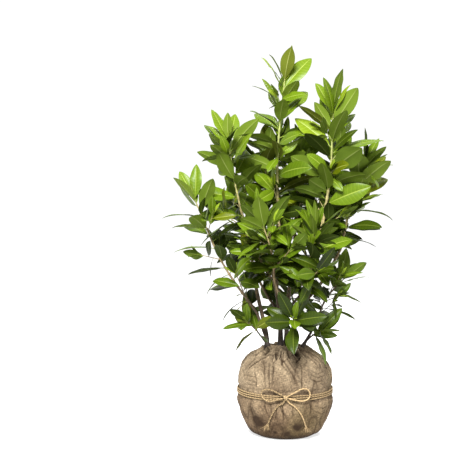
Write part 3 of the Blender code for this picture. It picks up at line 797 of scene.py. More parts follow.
def clear_start(root, towards, radius, blocker):
    """Where a limb from a root inside another solid comes just clear of that solid's surface."""
    out = (Vector(towards) - root).normalized()
    space = Space()
    space.take("blocker", blocker)
    distance = radius
    while True:
        test = Route((root + out * distance, root + out * (distance + 4 * radius)), radius, radius)
        if space.free(tube(test, 1, LIMB_SIDES, CLEAR)):
            return root + out * (distance + CLEAR)
        distance += CLEAR / 2


def limb_routes():
    """Every trunk and bough by name, each bough started on the side of the limb that it leaves."""
    routes = {name: trunk_route(name) for name in TRUNKS}
    for name, (limb, share, root_radius, tip_radius, points) in BOUGHS.items():
        parent = routes[limb]
        shape = tube(parent, LIMB_RINGS, LIMB_SIDES)
        start = clear_start(parent.at(share), points[0], root_radius, shape)
        routes[name] = Route((start,) + points, root_radius, tip_radius)
    return routes


def stem_route(shoot, limbs):
    """The own stem of a mass, from its bough's tip or from the side of a limb."""
    limb = limbs[shoot.limb]
    tip = Vector(shoot.tip)
    if shoot.at == 1:
        first = limb.heading(1)
        root = limb.at(1) + first * CLEAR
    else:
        first = None
        shape = tube(limb, LIMB_RINGS, LIMB_SIDES)
        root = clear_start(limb.at(shoot.at), tip, shoot.radius, shape)
    knee = (root + tip) / 2 + Vector(shoot.bow)
    return Route((root, knee, tip), shoot.radius, STEM_TIP_RADIUS, first)


def keeps_in(leaf):
    """Whether a leaf stays above the ball's shoulder and off its side."""
    for share in CHECKED_SHARES:
        point = spine(leaf, share)[0]
        if point.z < LOWEST_LEAF:
            return False
        if point.z < BALL_TOP + BALL_CLEARANCE and point.xy.length < outline_radius(point.z) + BALL_CLEARANCE:
            return False
    return True


def first_clear(plan, is_clear):
    """The first nudge of a planned leaf that keeps off the ball and is clear, or None."""
    for turn_by, pitch_by in NUDGES:
        leaf = leaf_of(plan, turn_by, pitch_by)
        if keeps_in(leaf) and is_clear(leaf):
            return leaf
    return None


def place_leaf(plan, name, space, blades):
    """A planned leaf that touches no other mass, and no blade of its own mass, or None."""

    def is_clear(leaf):
        blade = leaf_solid(leaf, 2 * STALK_SHARE, TEST_SWELL)
        return space.free(leaf_solid(leaf, 0, TEST_SWELL), name) and blades.free(blade)

    leaf = first_clear(plan, is_clear)
    if leaf:
        blades.take(name, leaf_solid(leaf, 2 * STALK_SHARE, TEST_SWELL))
    return leaf


def grow_crown(limbs, space):
    """(stem, twigs, leaves) of each mass. Stems and twigs come first, so that every leaf keeps off them."""
    stems, grown = {}, {}
    for name, shoot in SHOOTS.items():
        stems[name] = stem_route(shoot, limbs)
        space.take(name, tube(stems[name], STEM_RINGS, STEM_SIDES))
    for name, shoot in SHOOTS.items():
        twigs, plans = grow(shoot, stems[name])
        kept, planned = [], list(plans[0])
        for twig, twig_plans in zip(twigs, plans[1:]):
            if space.free(tube(twig, 1, TWIG_SIDES, TEST_SWELL), name):
                space.take(name, tube(twig, 1, TWIG_SIDES))
                kept.append(twig)
                planned += twig_plans
        grown[name] = (stems[name], kept, planned)
    crown = {}
    for name, (stem, twigs, planned) in grown.items():
        blades = Space()
        leaves = [place_leaf(plan, name, space, blades) for plan in reversed(planned)]
        leaves = [leaf for leaf in leaves if leaf]
        for leaf in leaves:
            space.take(name, leaf_solid(leaf))
        crown[name] = (stem, twigs, leaves)
    return crown


def within(leaf, box):
    """Whether a leaf's middle and tip lie inside a mass's own box."""
    for share in (0.5, 1):
        point = spine(leaf, share)[0]
        if any(not box[0][i] + REACH_MARGIN < point[i] < box[1][i] - REACH_MARGIN for i in range(3)):
            return False
    return True


def reach_of(leaves):
    """The lowest and highest corner of a mass's first leaves."""
    points = [point for leaf in leaves for point in leaf_solid(leaf)[0]]
    return corners((points,))


def fine_twigs(shoot, stem, name, count, space, rng):
    """(twigs, leaf plans) of the short twigs off a mass's stem that touch no other mass."""
    twigs, plans = [], []
    turn = rng.uniform(0, 2 * math.pi)
    for k in range(count):
        share = shoot.start + (FINE_TWIG_TOP - shoot.start) * (k + rng.uniform(0.2, 0.8)) / count
        turn += GOLDEN_ANGLE
        twig = side_twig(stem, share, turn, FINE_TWIG_LENGTH, 0, FINE_TWIG_RADIUS, rng)
        size = shoot.size * FINE_TWIG_LEAF
        twig_plans = leaf_plans(twig, FINE_TWIG_LEAF_START, FINE_TWIG_LEAVES, size, rng)
        if space.free(tube(twig, 1, TWIG_SIDES, TEST_SWELL), name):
            space.take(name, tube(twig, 1, TWIG_SIDES))
            twigs.append(twig)
            plans += twig_plans
    return twigs, plans


def grow_finer(name, stem, leaves, space):
    """(twigs, leaves) that fill a mass further: short twigs, and smaller leaves between the first ones."""
    shoot = SHOOTS[name]
    seed, count, twig_count = FINER[name]
    box = reach_of(leaves)
    rng = random.Random(seed)
    plans = leaf_plans(stem, shoot.start + FINE_START, count, shoot.size * FINE_SIZE, rng)
    twigs, twig_plans = fine_twigs(shoot, stem, name, twig_count, space, rng)

    def is_clear(leaf):
        return within(leaf, box) and space.free(leaf_solid(leaf, FINE_STALK_FREE * STALK_SHARE, TEST_SWELL))

    found = []
    for plan in reversed(plans + twig_plans):
        leaf = first_clear(plan, is_clear)
        if leaf:
            space.take(name, leaf_solid(leaf, 2 * STALK_SHARE))
            found.append(leaf)
    return twigs, found


def young_leaves(route, size, rng):
    """A few narrow young leaves closed up round an apex."""
    plans = []
    turn = rng.uniform(0, 2 * math.pi)
    for k in range(YOUNG_LEAVES):
        turn += GOLDEN_ANGLE
        share = YOUNG_START + (1 - YOUNG_START) * k / YOUNG_LEAVES
        pitch = math.radians(rng.uniform(*YOUNG_PITCH))
        length = size * rng.uniform(*YOUNG_SIZE)
        roll = math.radians(rng.gauss(0, ROLL_SCATTER))
        bend = math.radians(rng.uniform(*YOUNG_BENDS))
        fold = rng.uniform(*YOUNG_FOLDS)
        plans.append(Plan(
            route.at(share), route.heading(share), turn, pitch, length, roll, bend, fold, YOUNG_WIDTH))
    return [leaf_of(plan, 0, 0) for plan in plans]


class Skin:
    """Points and faces of one piece, gathered part by part, each face with the number of its material."""

    def __init__(self):
        self.points, self.faces, self.kinds, self.values = [], [], [], []
        self.count = 0

    def add(self, points, faces, kinds, values=None):
        self.points.append(np.asarray(points, float).reshape(-1, 3))
        self.faces.append(np.asarray(faces, int).reshape(-1, 4) + self.count)
        self.kinds.append(np.broadcast_to(np.asarray(kinds, int), len(self.faces[-1])))
        total = len(self.points[-1])
        self.values.append(np.zeros(total) if values is None else np.asarray(values, float).reshape(-1))
        self.count += total

    def piece(self, name, materials, replaced):
        """The finished object, which rides on the plant's one body and stands for its solids."""
        points = np.concatenate(self.points)
        faces = np.concatenate(self.faces)
        mesh = bpy.data.meshes.new(name)
        mesh.vertices.add(len(points))
        mesh.vertices.foreach_set("co", points.ravel())
        mesh.loops.add(faces.size)
        mesh.loops.foreach_set("vertex_index", faces.ravel())
        mesh.polygons.add(len(faces))
        mesh.polygons.foreach_set("loop_start", np.arange(0, faces.size, 4))
        for material in materials:
            mesh.materials.append(material)
        mesh.polygons.foreach_set("material_index", np.concatenate(self.kinds))
        tint = mesh.attributes.new("tint", "FLOAT", "POINT")
        tint.data.foreach_set("value", np.concatenate(self.values))
        mesh.update(calc_edges=True)
        mesh.shade_smooth()
        made = bpy.data.objects.new(name, mesh)
        bpy.context.scene.collection.objects.link(made)
        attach(made, "root")
        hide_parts(*replaced)
        return made


def grid_faces(rows, columns, closed=False):
    """The quads of a grid of points, whose columns may run round and close."""
    row, column = np.meshgrid(np.arange(rows - 1), np.arange(columns - (not closed)), indexing="ij")
    near = row * columns + column
    along = row * columns + (column + 1) % columns
    return np.stack([near, along, along + columns, near + columns], -1).reshape(-1, 4)


def blade_width(share):
    """Half a real blade's width at shares of the leaf's length: wedge-shaped below, drawn out to a tip."""
    x = np.clip((share - STALK_SHARE) / (1 - STALK_SHARE), 0, 1)
    full = 0.5 * np.maximum(np.sin(math.pi * x ** BLADE_LEAN), 0) ** BLADE_FULLNESS
    return full + BLADE_EDGE + BLADE_WEDGE * (1 - x)


def blade_grid():
    """Shares along and across of every point of a blade, how far it is quilted up, and the faces' kinds."""
    rows = [(pair + step) / VEIN_PAIRS for pair in range(VEIN_PAIRS) for step in VEIN_STEPS] + [1.0]
    start = np.array(rows)[:, None]
    s = np.broadcast_to(np.array(STRIPS), (len(rows), len(STRIPS)))
    along = STALK_SHARE + (1 - STALK_SHARE) * start
    slanted = along + VEIN_SLANT * LEAF_WIDTH * np.abs(s) * blade_width(along) * (1 - start ** 3)
    inside = np.sin(math.pi * np.clip(np.abs(s), 0, 1)) ** QUILT_ROUND
    crests = np.array(CRESTS * VEIN_PAIRS + (0.0,))[:, None]
    kinds = np.full((len(rows) - 1, len(STRIPS) - 1), BLADE_FACE)
    kinds[::len(VEIN_STEPS)] = VEIN_FACE
    kinds[:, RIB_STRIPS] = RIB_FACE
    return slanted, s, crests * inside, kinds.ravel()


BLADE = blade_grid()


def midrib(leaf, rng):
    """(shares, angles, way forward, way down) of a bent midrib, curled at its tip, for a leaf one long."""
    t = np.linspace(0, 1, BEND_STEPS + 1)
    curl = rng.uniform(*TIP_CURL)
    angle = leaf.bend * t + curl * np.clip((t - TIP_CURL_START) / (1 - TIP_CURL_START), 0, 1) ** 2
    middle = (angle[1:] + angle[:-1]) / 2
    forward = np.concatenate([[0], np.cumsum(np.cos(middle))]) / BEND_STEPS
    fall = np.concatenate([[0], np.cumsum(np.sin(middle))]) / BEND_STEPS
    return t, angle, forward, fall


def leaf_points(leaf, rng, share, s):
    """(points, outward faces, reach) of a leaf's bent, twisted, waved sheet, by shares along and across."""
    length = leaf.length
    t, angle, forward, fall = midrib(leaf, rng)
    theta = np.interp(share, t, angle)[..., None]
    heading, face = np.array(leaf.heading), np.array(leaf.face)
    side = np.cross(heading, face)
    up = face * np.cos(theta) + heading * np.sin(theta)
    twist = (rng.uniform(-TWIST, TWIST) * (share - STALK_SHARE))[..., None]
    aside = side * np.cos(twist) + up * np.sin(twist)
    up = up * np.cos(twist) - side * np.sin(twist)
    reach = blade_width(share) * leaf.width * length
    waves, depth = rng.uniform(*WAVES), rng.uniform(*WAVE) * length
    phases = np.where(s < 0, rng.uniform(*WAVE_PHASE), rng.uniform(*WAVE_PHASE))
    wave = depth * np.sin(2 * math.pi * waves * share + phases) * s ** 2 * np.sin(math.pi * share)
    rise = reach * (leaf.fold * np.abs(s) ** FOLD_ROUND - MARGIN_DROP * s ** 4) + wave
    sway = rng.uniform(-SWAY, SWAY) * length * np.sin(math.pi * share)
    points = np.array(leaf.root) + length * (
        np.interp(share, t, forward)[..., None] * heading - np.interp(share, t, fall)[..., None] * face)
    points = points + aside * (s * reach * math.sqrt(1 - leaf.fold ** 2) + sway)[..., None]
    return points + up * rise[..., None], up, reach


def under_side(leaf, middle, up):
    """(points, kinds of faces) of a leaf's underside: fewer rows and strips, and the midrib stands out."""
    rows = np.r_[np.arange(0, len(middle) - 1, UNDER_ROWS), len(middle) - 1]
    picked = np.ix_(rows, UNDER_STRIPS)
    share, s = BLADE[0][picked], BLADE[1][picked]
    ribbed = (np.abs(s) < RIB_LINE) * RIB_RISE * leaf.length * (1 - RIB_TAPER * share)
    depth = np.where(np.abs(s) < EDGE_LINE, BLADE_DEPTH, EDGE_DEPTH) * leaf.length
    kinds = np.full((len(rows) - 1, len(UNDER_STRIPS) - 1), UNDER_FACE)
    kinds[:, UNDER_RIB_STRIPS] = UNDER_RIB_FACE
    return middle[picked] - up[picked] * (depth + ribbed)[..., None], kinds.ravel()


def stalk_rings(leaf):
    """The points round a leaf's stalk, which runs on under the blade."""
    share = np.linspace(0, STALK_SHARE * STALK_RUN, STALK_RINGS)[:, None]
    around = np.linspace(0, 2 * math.pi, STALK_SIDES, endpoint=False)[None, :]
    heading, face = np.array(leaf.heading), np.array(leaf.face)
    centre = np.array(leaf.root) + leaf.length * share[..., None] * heading - face * (STALK_RADIUS / 2)
    out = face * np.cos(around)[..., None] + np.cross(heading, face) * np.sin(around)[..., None]
    thick = STALK_RADIUS * leaf.length / STALK_FULL_SIZE * (1 - STALK_TAPER * share / share.max())
    return centre + out * thick[..., None]


def add_leaf(skin, leaf, tone, rng):
    """A leaf's upper side, underside and stalk, in the five materials of its tone."""
    share, s, quilted, kinds = BLADE
    middle, up, reach = leaf_points(leaf, rng, share, s)
    groove = (np.abs(s) < RIB_LINE) * np.minimum(RIB_SINK * leaf.length, reach * SINK_LIMIT)
    raised = QUILT * leaf.length * quilted * np.minimum(reach / (QUILT_REACH * leaf.length), 1)
    first = tone * len(LEAF_KINDS)
    skin.add(middle + up * (raised - groove)[..., None], grid_faces(*share.shape), first + kinds)
    below, under_kinds = under_side(leaf, middle, up)
    skin.add(below, grid_faces(*below.shape[:2])[:, ::-1], first + under_kinds)
    skin.add(stalk_rings(leaf), grid_faces(STALK_RINGS, STALK_SIDES, True), first + RIB_FACE)


def framed(line):
    """Two steady directions across a line of points, at each of them."""
    heading = np.gradient(line, axis=0)
    heading /= np.linalg.norm(heading, axis=1)[:, None]
    side = np.array(across(Vector(heading[0])))
    sides = []
    for along in heading:
        side = side - along * side.dot(along)
        side = side / np.linalg.norm(side)
        sides.append(side)
    sides = np.array(sides)
    return sides, np.cross(heading, sides)


def sweep(line, radii, sides):
    """A grid of points round a line, with a radius for each ring or for each point."""
    first, second = framed(line)
    around = np.linspace(0, 2 * math.pi, sides, endpoint=False)
    radii = np.broadcast_to(np.asarray(radii, float).reshape(len(line), -1), (len(line), sides))
    out = first[:, None] * np.cos(around)[:, None] + second[:, None] * np.sin(around)[:, None]
    return line[:, None] + out * radii[..., None]


def add_tube(skin, line, radii, sides, values):
    """A tube round a line, with a tint for each ring."""
    skin.add(sweep(line, radii, sides), grid_faces(len(line), sides, True), 0, np.repeat(values, sides))


def add_skinned(skin, line, radii, sides):
    """A woody tube whose tint is its height, which the bark's colours follow."""
    grid = sweep(line, radii, sides)
    skin.add(grid, grid_faces(len(line), sides, True), 0, grid[..., 2])


def sampled(route, step):
    """(points, shares) along a route, at even steps."""
    rough = [route.at(k / LENGTH_STEPS) for k in range(LENGTH_STEPS + 1)]
    length = sum((b - a).length for a, b in zip(rough, rough[1:]))
    shares = np.linspace(0, 1, max(int(length / step), 4))
    return np.array([route.at(share) for share in shares]), shares


def rooted(line, radii, sunk):
    """A line and its radii, begun at a point inside what carries it."""
    return np.concatenate([[np.array(sunk)], line]), np.concatenate([[radii[0]], radii])


def bark_relief(name, grown):
    """How far bark stands out round each ring of a limb, as shares of its radius."""
    around = np.linspace(0, 2 * math.pi, BARK_SIDES, endpoint=False)
    relief = np.zeros((len(grown), BARK_SIDES))
    seed = len(name) * 3.1
    for i, far in enumerate(grown):
        swelling = SWELLING_DEPTH * noise.noise(Vector((seed, far * SWELLING_SCALE, 0.5)))
        for k, angle in enumerate(around):
            x, y = RIDGES_ROUND * math.cos(angle), RIDGES_ROUND * math.sin(angle)
            where = Vector((x + seed, y, far * RIDGE_SCALE))
            bump = noise.noise(where) + 0.5 * noise.noise(where * 2.7)
            relief[i, k] = RIDGE_DEPTH * bump + swelling
    return relief


def add_limb(skin, name, route, sunk):
    """A trunk or bough with bark relief, its root sunk into what carries it."""
    line, shares = sampled(route, RING_STEP)
    radii = route.radius(shares)
    grown = np.linalg.norm(line - line[0], axis=1)
    if sunk is not None:
        line, radii = rooted(line, radii, sunk)
        grown = np.concatenate([[0], grown])
    else:
        radii = radii * (1 + FOOT_FLARE * np.exp(-grown / FLARE_FADE))
        line[0, 2] -= SUNK_FOOT
    add_skinned(skin, line, radii[:, None] * (1 + bark_relief(name, grown)), BARK_SIDES)


def add_stem(skin, route, leaves, sunk):
    """A leafy stem or twig, swollen at each leaf's node."""
    line, shares = sampled(route, STEM_RING_STEP)
    radii = route.radius(shares)
    if leaves:
        roots = np.array([leaf.root for leaf in leaves])
        apart = np.linalg.norm(line[:, None] - roots[None], axis=2).min(axis=1)
        radii = radii * (1 + NODE_SWELL * np.exp(-(apart / NODE_LENGTH) ** 2))
    if sunk is not None:
        line, radii = rooted(line, radii, sunk)
    add_skinned(skin, line, radii, STEM_SKIN_SIDES)


def side_distance(round_at, along, line):
    """(distance, share) of points from a bent line on the cloth, both in metres over its surface."""
    best = np.full(round_at.shape, 1e9)
    shares = np.zeros(round_at.shape)
    spans = len(line) - 1
    for k, ((x0, y0), (x1, y1)) in enumerate(zip(line, line[1:])):
        dx, dy = x1 - x0, y1 - y0
        t = ((round_at - x0) * dx + (along - y0) * dy) / (dx * dx + dy * dy)
        t = np.clip(t, 0, 1)
        gone = np.hypot(round_at - x0 - t * dx, along - y0 - t * dy)
        nearer = gone < best
        best = np.where(nearer, gone, best)
        shares = np.where(nearer, (k + t) / spans, shares)
    return best, shares


def spread_out(folds, k, rng):
    """Where the next of the folds lies on its arc, in degrees."""
    low, high = folds.arc
    return low + (high - low) * (k + rng.uniform(*FOLD_SPACING)) / folds.count


def loose_folds():
    """Folds dealt out by rule: pleats from the neck all round, and folds behind and below the twine."""
    rng = random.Random(7)
    found = []
    for k in range(BACK_FOLDS.count):
        angle = spread_out(BACK_FOLDS, k, rng)
        foot, drift = rng.uniform(*BACK_FOLDS.feet), rng.uniform(*BACK_FOLDS.drifts)
        line = ((angle, BACK_FOLDS.head), (angle + drift * BACK_DRIFT, SHOULDER), (angle + drift, foot))
        found.append((line, rng.choice(BACK_FOLDS.depths), rng.uniform(*BACK_FOLDS.widths)))
    for k in range(LOW_FOLDS.count):
        angle = spread_out(LOW_FOLDS, k, rng)
        foot, drift = rng.uniform(*LOW_FOLDS.feet), rng.uniform(*LOW_FOLDS.drifts)
        line = ((angle, LOW_FOLDS.head), (angle + drift, foot))
        found.append((line, rng.choice(LOW_FOLDS.depths), rng.uniform(*LOW_FOLDS.widths)))
    for k in range(NECK_FOLDS.count):
        angle = spread_out(NECK_FOLDS, k, rng)
        drift = angle * NECK_LEAN + rng.uniform(*NECK_FOLDS.drifts)
        foot = rng.uniform(*NECK_FOLDS.feet)
        line = ((angle, NECK_FOLDS.head), (angle + drift * NECK_DRIFT, NECK_BEND), (angle + drift, foot))
        found.append((line, rng.choice(NECK_FOLDS.depths), rng.uniform(*NECK_FOLDS.widths)))
    for _ in range(LEVEL_FOLDS):
        angle, height = rng.uniform(*LEVEL_ARC), rng.uniform(*LEVEL_HEIGHTS)
        line = ((angle - LEVEL_REACH, height), (angle, height + LEVEL_SAG), (angle + LEVEL_REACH, height))
        found.append((line, LEVEL_DEPTH, LEVEL_WIDTH))
    return found


def cloth_profile():
    """(radius, height, way gone) of rows from the underside's middle, over the side, to the top's middle."""
    side = Route([(radius, 0, height) for radius, height in BALL_OUTLINE], 1, 1)
    line = [side.at(k / PROFILE_STEPS) for k in range(PROFILE_STEPS + 1)]
    radii = np.array([*UNDERSIDE_RADII, *(p.x for p in line), *TOP_RADII])
    heights = np.array([0.0] * len(UNDERSIDE_RADII) + [p.z for p in line] + [CLOTH_TOP] * len(TOP_RADII))
    gone = np.concatenate([[0], np.cumsum(np.hypot(np.diff(radii), np.diff(heights)))])
    even = np.linspace(0, gone[-1], CLOTH_ROWS)
    return np.interp(even, gone, radii), np.interp(even, gone, heights), even


def fade(distance, reach):
    """From nought at no distance to one at the reach and beyond."""
    return np.clip(distance / reach, 0, 1)


def pressed_folds(front, height, gone):
    """(offset, depth) of the cloth's points, from each fold seen in front and each dealt out by rule."""
    offset = np.zeros((CLOTH_ROWS, CLOTH_COLUMNS))
    depth = np.zeros_like(offset)
    order = np.argsort(height[SIDE_ROWS]) + SIDE_ROWS.start
    half = math.pi * FOLD_RADIUS
    for line, deep, wide in SEEN_FOLDS + tuple(loose_folds()):
        levels = np.interp([level for _, level in line], height[order], gone[order])
        flat = [(math.radians(degrees) * FOLD_RADIUS, up) for (degrees, _), up in zip(line, levels)]
        middle = sum(x for x, _ in flat) / len(flat)
        turned = (np.radians(front) * FOLD_RADIUS - middle + half) % (2 * half) - half + middle
        round_at, along = np.broadcast_arrays(turned[None, :], gone[:, None])
        far, share = side_distance(round_at, along, flat)
        taper = np.sin(math.pi * np.clip(share * FOLD_RUN + FOLD_START, 0, 1)) ** 0.5
        valley = np.exp(-(far / wide) ** 2) * taper
        banks = np.exp(-((far - BANK_PLACE * wide) / (BANK_WIDTH * wide)) ** 2) * taper
        offset += -FOLD_GAIN * deep * valley + BANK_GAIN * abs(deep) * banks
        # Painted shade: the fold valleys' depth, which darkens the cloth's tint.
        depth += np.maximum(deep, 0) * valley
    return offset, depth


def even_folds(angle, radius, height, gone, waist):
    """(offset, depth) of the ball's broad folds, the gathers along the twine and the pleats at the neck; the
    depth is painted shade between the pleats.
    """
    away = fade(waist, WAIST_CALM) * fade(height, FOOT_CALM)
    broad = sum(part * np.sin(count * angle + start) for part, count, start in BROAD_FOLDS) - FOLD_LEVEL
    near_twine = np.exp(-((waist - GATHER_PLACE) / GATHER_WIDTH) ** 2)
    gathers = np.sin(WAIST_GATHERS * angle + 2.5 * np.sin(3 * angle)) + 0.6 * np.sin(31 * angle + 1)
    neck = fade(gone - gone[height > SHOULDER][0], NECK_FADE) * fade(radius, NECK_CORE)
    pleats = np.sin(17 * angle + 1.3 * np.sin(2 * angle + 1))
    pleats += 0.5 * np.sin(29 * angle + 2 * np.sin(3 * angle))
    offset = np.outer(FOLD_DEPTH * away, broad) + np.outer(GATHER_DEPTH * near_twine, gathers)
    return offset + np.outer(NECK_DEPTH * neck, pleats), np.outer(NECK_PAINTED_SHADE * neck, np.clip(-pleats, 0, 2))


def noise_at(point, scale, shift):
    """Noise at a point that is scaled along each axis and shifted upwards."""
    return noise.noise(Vector((point.x * scale[0], point.y * scale[1], point.z * scale[2] + shift)))


def crumpled(angle, radius, height):
    """(crumple, crease) of the cloth's points: lumps in metres, and sharp creases from nought to one."""
    crumple = np.zeros((CLOTH_ROWS, CLOTH_COLUMNS))
    crease = np.zeros_like(crumple)
    for i in range(CLOTH_ROWS):
        for k in range(CLOTH_COLUMNS):
            out = Vector((radius[i] * math.cos(angle[k]), radius[i] * math.sin(angle[k]), height[i]))
            crumple[i, k] = sum(deep * noise_at(out, scale, shift) for deep, scale, shift in LUMPS)
            sharp = max(1 - CREASE_SHARPNESS * abs(noise_at(out, CREASE_SCALE, CREASE_SHIFT)), 0)
            patch = max(noise_at(out, PATCH_SCALE, PATCH_SHIFT) + PATCH_SHARE, 0)
            crease[i, k] = sharp ** 3 * min(patch * PATCH_EDGE, 1)
    return crumple, crease


def stained(front, height, crumple):
    """How damp the cloth is at each point, from nought to one, in ragged stains."""
    stain = np.zeros_like(crumple)
    for degrees, level, half, tall in STAINS:
        turned = (front - degrees + 180) % 360 - 180
        gap = np.hypot(np.radians(turned)[None, :] * FOLD_RADIUS / half, ((height - level) / tall)[:, None])
        gap = gap + STAIN_RAGGED * crumple
        stain = np.maximum(stain, np.clip((STAIN_REACH - gap) / STAIN_SOFT, 0, 1))
    return stain


def laid_round(angle, radius, height, offset):
    """The cloth's points: its rows turned round the ball, moved out by the offset, and drawn up at trunks."""
    normal = np.stack([np.gradient(height), -np.gradient(radius)], 1)
    normal /= np.linalg.norm(normal, axis=1)[:, None]
    out = radius[:, None] + normal[:, 0][:, None] * offset
    level = np.maximum(height[:, None] + normal[:, 1][:, None] * offset, 0)
    points = np.stack([out * np.cos(angle), out * np.sin(angle), level], -1)
    for _, _, route in TRUNKS.values():
        far = np.linalg.norm(points[..., :2] - np.array(route[0]), axis=2)
        points[..., 2] += COLLAR_HEIGHT * np.exp(-(far / COLLAR_WIDTH) ** 2) * (height > COLLAR_FOOT)[:, None]
    return points


def map_weave(mesh, angle, gone):
    """The weave's map: metres round the cloth, and metres up it."""
    flat = np.stack(np.broadcast_arrays(angle[None, :] * FOLD_RADIUS, gone[:, None]), -1).reshape(-1, 2)
    points = np.empty(len(mesh.loops), int)
    mesh.loops.foreach_get("vertex_index", points)
    mesh.uv_layers.new(name="weave").data.foreach_set("uv", flat[points].ravel())


def ball_piece():
    """The burlap over the whole ball, folded, gathered, crumpled and stained."""
    radius, height, gone = cloth_profile()
    degrees = np.linspace(90, 450, CLOTH_COLUMNS)
    angle, front = np.radians(degrees), (degrees + 90) % 360
    waist = np.abs(height - WAIST_HEIGHT)
    offset, depth = pressed_folds(front, height, gone)
    for distance, reach in zip((waist, height, radius), FOLD_FADES):
        offset *= fade(distance, reach)[:, None]
    even, dark = even_folds(angle, radius, height, gone, waist)
    crumple, crease = crumpled(angle, radius, height)
    calm = (fade(waist, CALM_REACH) * fade(height, CALM_REACH))[:, None]
    offset += even + (crumple - CREASE_DEPTH * crease) * calm
    # Painted shade in the neck pleats and creases adds to the folds' depth.
    depth += dark + CREASE_PAINTED_SHADE * CREASE_DEPTH * crease * calm
    skin = Skin()
    points = laid_round(angle, radius, height, offset)
    # The tint is painted shade: darker in fold valleys, between neck pleats and in creases.
    skin.add(points, grid_faces(CLOTH_ROWS, CLOTH_COLUMNS), 0, fade(depth, DARKEST_FOLD_SHADE))
    ball = skin.piece("burlap_ball", [burlap()], ["root_ball"])
    stain = ball.data.attributes.new("stain", "FLOAT", "POINT")
    stain.data.foreach_set("value", stained(front, height, crumple).ravel())
    map_weave(ball.data, angle, gone)


def twisted(skin, line, radius, turns):
    """Plies laid round a line, as a cord is."""
    first, second = framed(line)
    shares = np.linspace(0, 1, len(line))
    thick = np.full(len(line), radius * (1 - PLY_SHARE) * PLY_FILL)
    for ply in range(PLIES):
        phase = 2 * math.pi * (turns * shares + ply / PLIES)
        out = first * np.cos(phase)[:, None] + second * np.sin(phase)[:, None]
        middle = line + out * radius * PLY_SHARE
        # Each ply's tint is painted light and shade: lighter on one side of its twist, darker on the other.
        add_tube(skin, middle, thick, PLY_SIDES, 0.5 + 0.5 * np.sin(phase + ply))


def add_fibre(skin, start, along, length, rng, radius=FIBRE_RADIUS, taper=FIBRE_TAPER):
    """One loose fibre, bent at random."""
    bend = np.array([rng.gauss(0, FIBRE_BEND) for _ in range(3)])
    t = np.linspace(0, 1, FIBRE_RINGS)[:, None]
    line = np.array(start) + length * (t * along + t ** 2 * bend * 0.5)
    add_tube(skin, line, radius * (1 - taper * t[:, 0]), 3, np.full(FIBRE_RINGS, rng.random()))


def add_fuzz(skin, line, count, rng):
    """Loose fibres that stand off along a cord."""
    for _ in range(count):
        spot = rng.randrange(2, len(line) - 2)
        along = line[spot + 1] - line[spot - 1]
        along = along / np.linalg.norm(along) * rng.choice((-1, 1))
        off = np.array([rng.gauss(0, 1) for _ in range(3)])
        off = off / np.linalg.norm(off)
        root = line[spot] + off * TWINE_RADIUS * FUZZ_ROOT
        add_fibre(skin, root, along * 0.5 + off, rng.uniform(*FUZZ_LENGTH), rng)


def add_brush(skin, line, rng):
    """The frayed end of a tail."""
    along = line[-1] - line[-3]
    along /= np.linalg.norm(along)
    for _ in range(FRAY_FIBRES):
        spread = np.array([rng.gauss(0, FRAY_SPREAD), rng.gauss(0, FRAY_SPREAD * 0.5), 0])
        root = line[-1] - along * rng.uniform(*FRAY_ROOT) + spread * FRAY_WIDTH
        add_fibre(skin, root, along + spread, rng.uniform(*FRAY_LENGTH), rng, FRAY_RADIUS, FRAY_TAPER)


def turn_piece(step, name, material):
    """One turn of twine round the waist, a step up or down from the middle one."""
    middle = WAIST_RADIUS + CLEAR + TWINE_RADIUS
    turns = round(2 * math.pi * middle / TWIST_PITCH)
    angle = np.linspace(0.5 * math.pi, 2.5 * math.pi, turns * STEPS_PER_TWIST + 1)
    level = WAIST_HEIGHT + step * TURN_PITCH + TURN_WANDER * np.sin(5 * angle + 2 * step)
    line = np.stack([middle * np.cos(angle), middle * np.sin(angle), level], 1)
    skin = Skin()
    twisted(skin, line, TWINE_RADIUS, turns)
    add_fuzz(skin, line, TURN_FUZZ, random.Random(20 + step))
    skin.piece(name + "_cord", [material], [name])


def bow_line(points):
    """The line of a loop or tail, off the twine at the waist and close to the ball below it."""
    found = []
    for x, height, further in points:
        out = BOW_OUT
        if height < WAIST_HEIGHT - BOW_DROP:
            out = min(out, outline_radius(height) + TAIL_LIFT)
        out += further
        found.append(Vector((x, -math.sqrt(out ** 2 - x ** 2), height)))
    return sampled(Route(found, 1, 1), TWIST_PITCH / STEPS_PER_TWIST)[0]


def bow_piece(name, points, material):
    """A loop or a tail of the bow, each tail with a frayed end."""
    rng = random.Random(name)
    line = bow_line(points)
    skin = Skin()
    twisted(skin, line, TWINE_RADIUS, len(line) / STEPS_PER_TWIST)
    add_fuzz(skin, line, BOW_FUZZ, rng)
    if "tail" in name:
        add_brush(skin, line, rng)
    skin.piece(name + "_cord", [material], [name])


def knot_piece(material):
    """The knot: a cord wound round a rounded core."""
    back = -(WAIST_RADIUS + 2 * TWINE_RADIUS + 2 * CLEAR + KNOT_DEPTH)
    level = WAIST_HEIGHT + KNOT_LIFT
    t = np.linspace(0, 1, KNOT_STEPS)
    turn = 2 * math.pi * (KNOT_WINDS * t + KNOT_START)
    out, up = KNOT_REACH
    skin = Skin()
    line = np.stack([KNOT_X + KNOT_RUN * (t - 0.5), back + out * np.cos(turn), level + up * np.sin(turn)], 1)
    twisted(skin, line, KNOT_CORD, KNOT_TWISTS)
    t = np.linspace(-1, 1, KNOT_CORE_SIDES)
    core = np.stack([KNOT_X + KNOT_CORE_HALF * t, np.full_like(t, back), np.full_like(t, level)], 1)
    thick = KNOT_CORE * np.sqrt(np.maximum(1 - t ** 2, 0.02))
    add_tube(skin, core, thick, KNOT_CORE_SIDES, np.full_like(t, KNOT_CORE_TINT))
    skin.piece("bow_knot_cord", [material], ["bow_knot"])


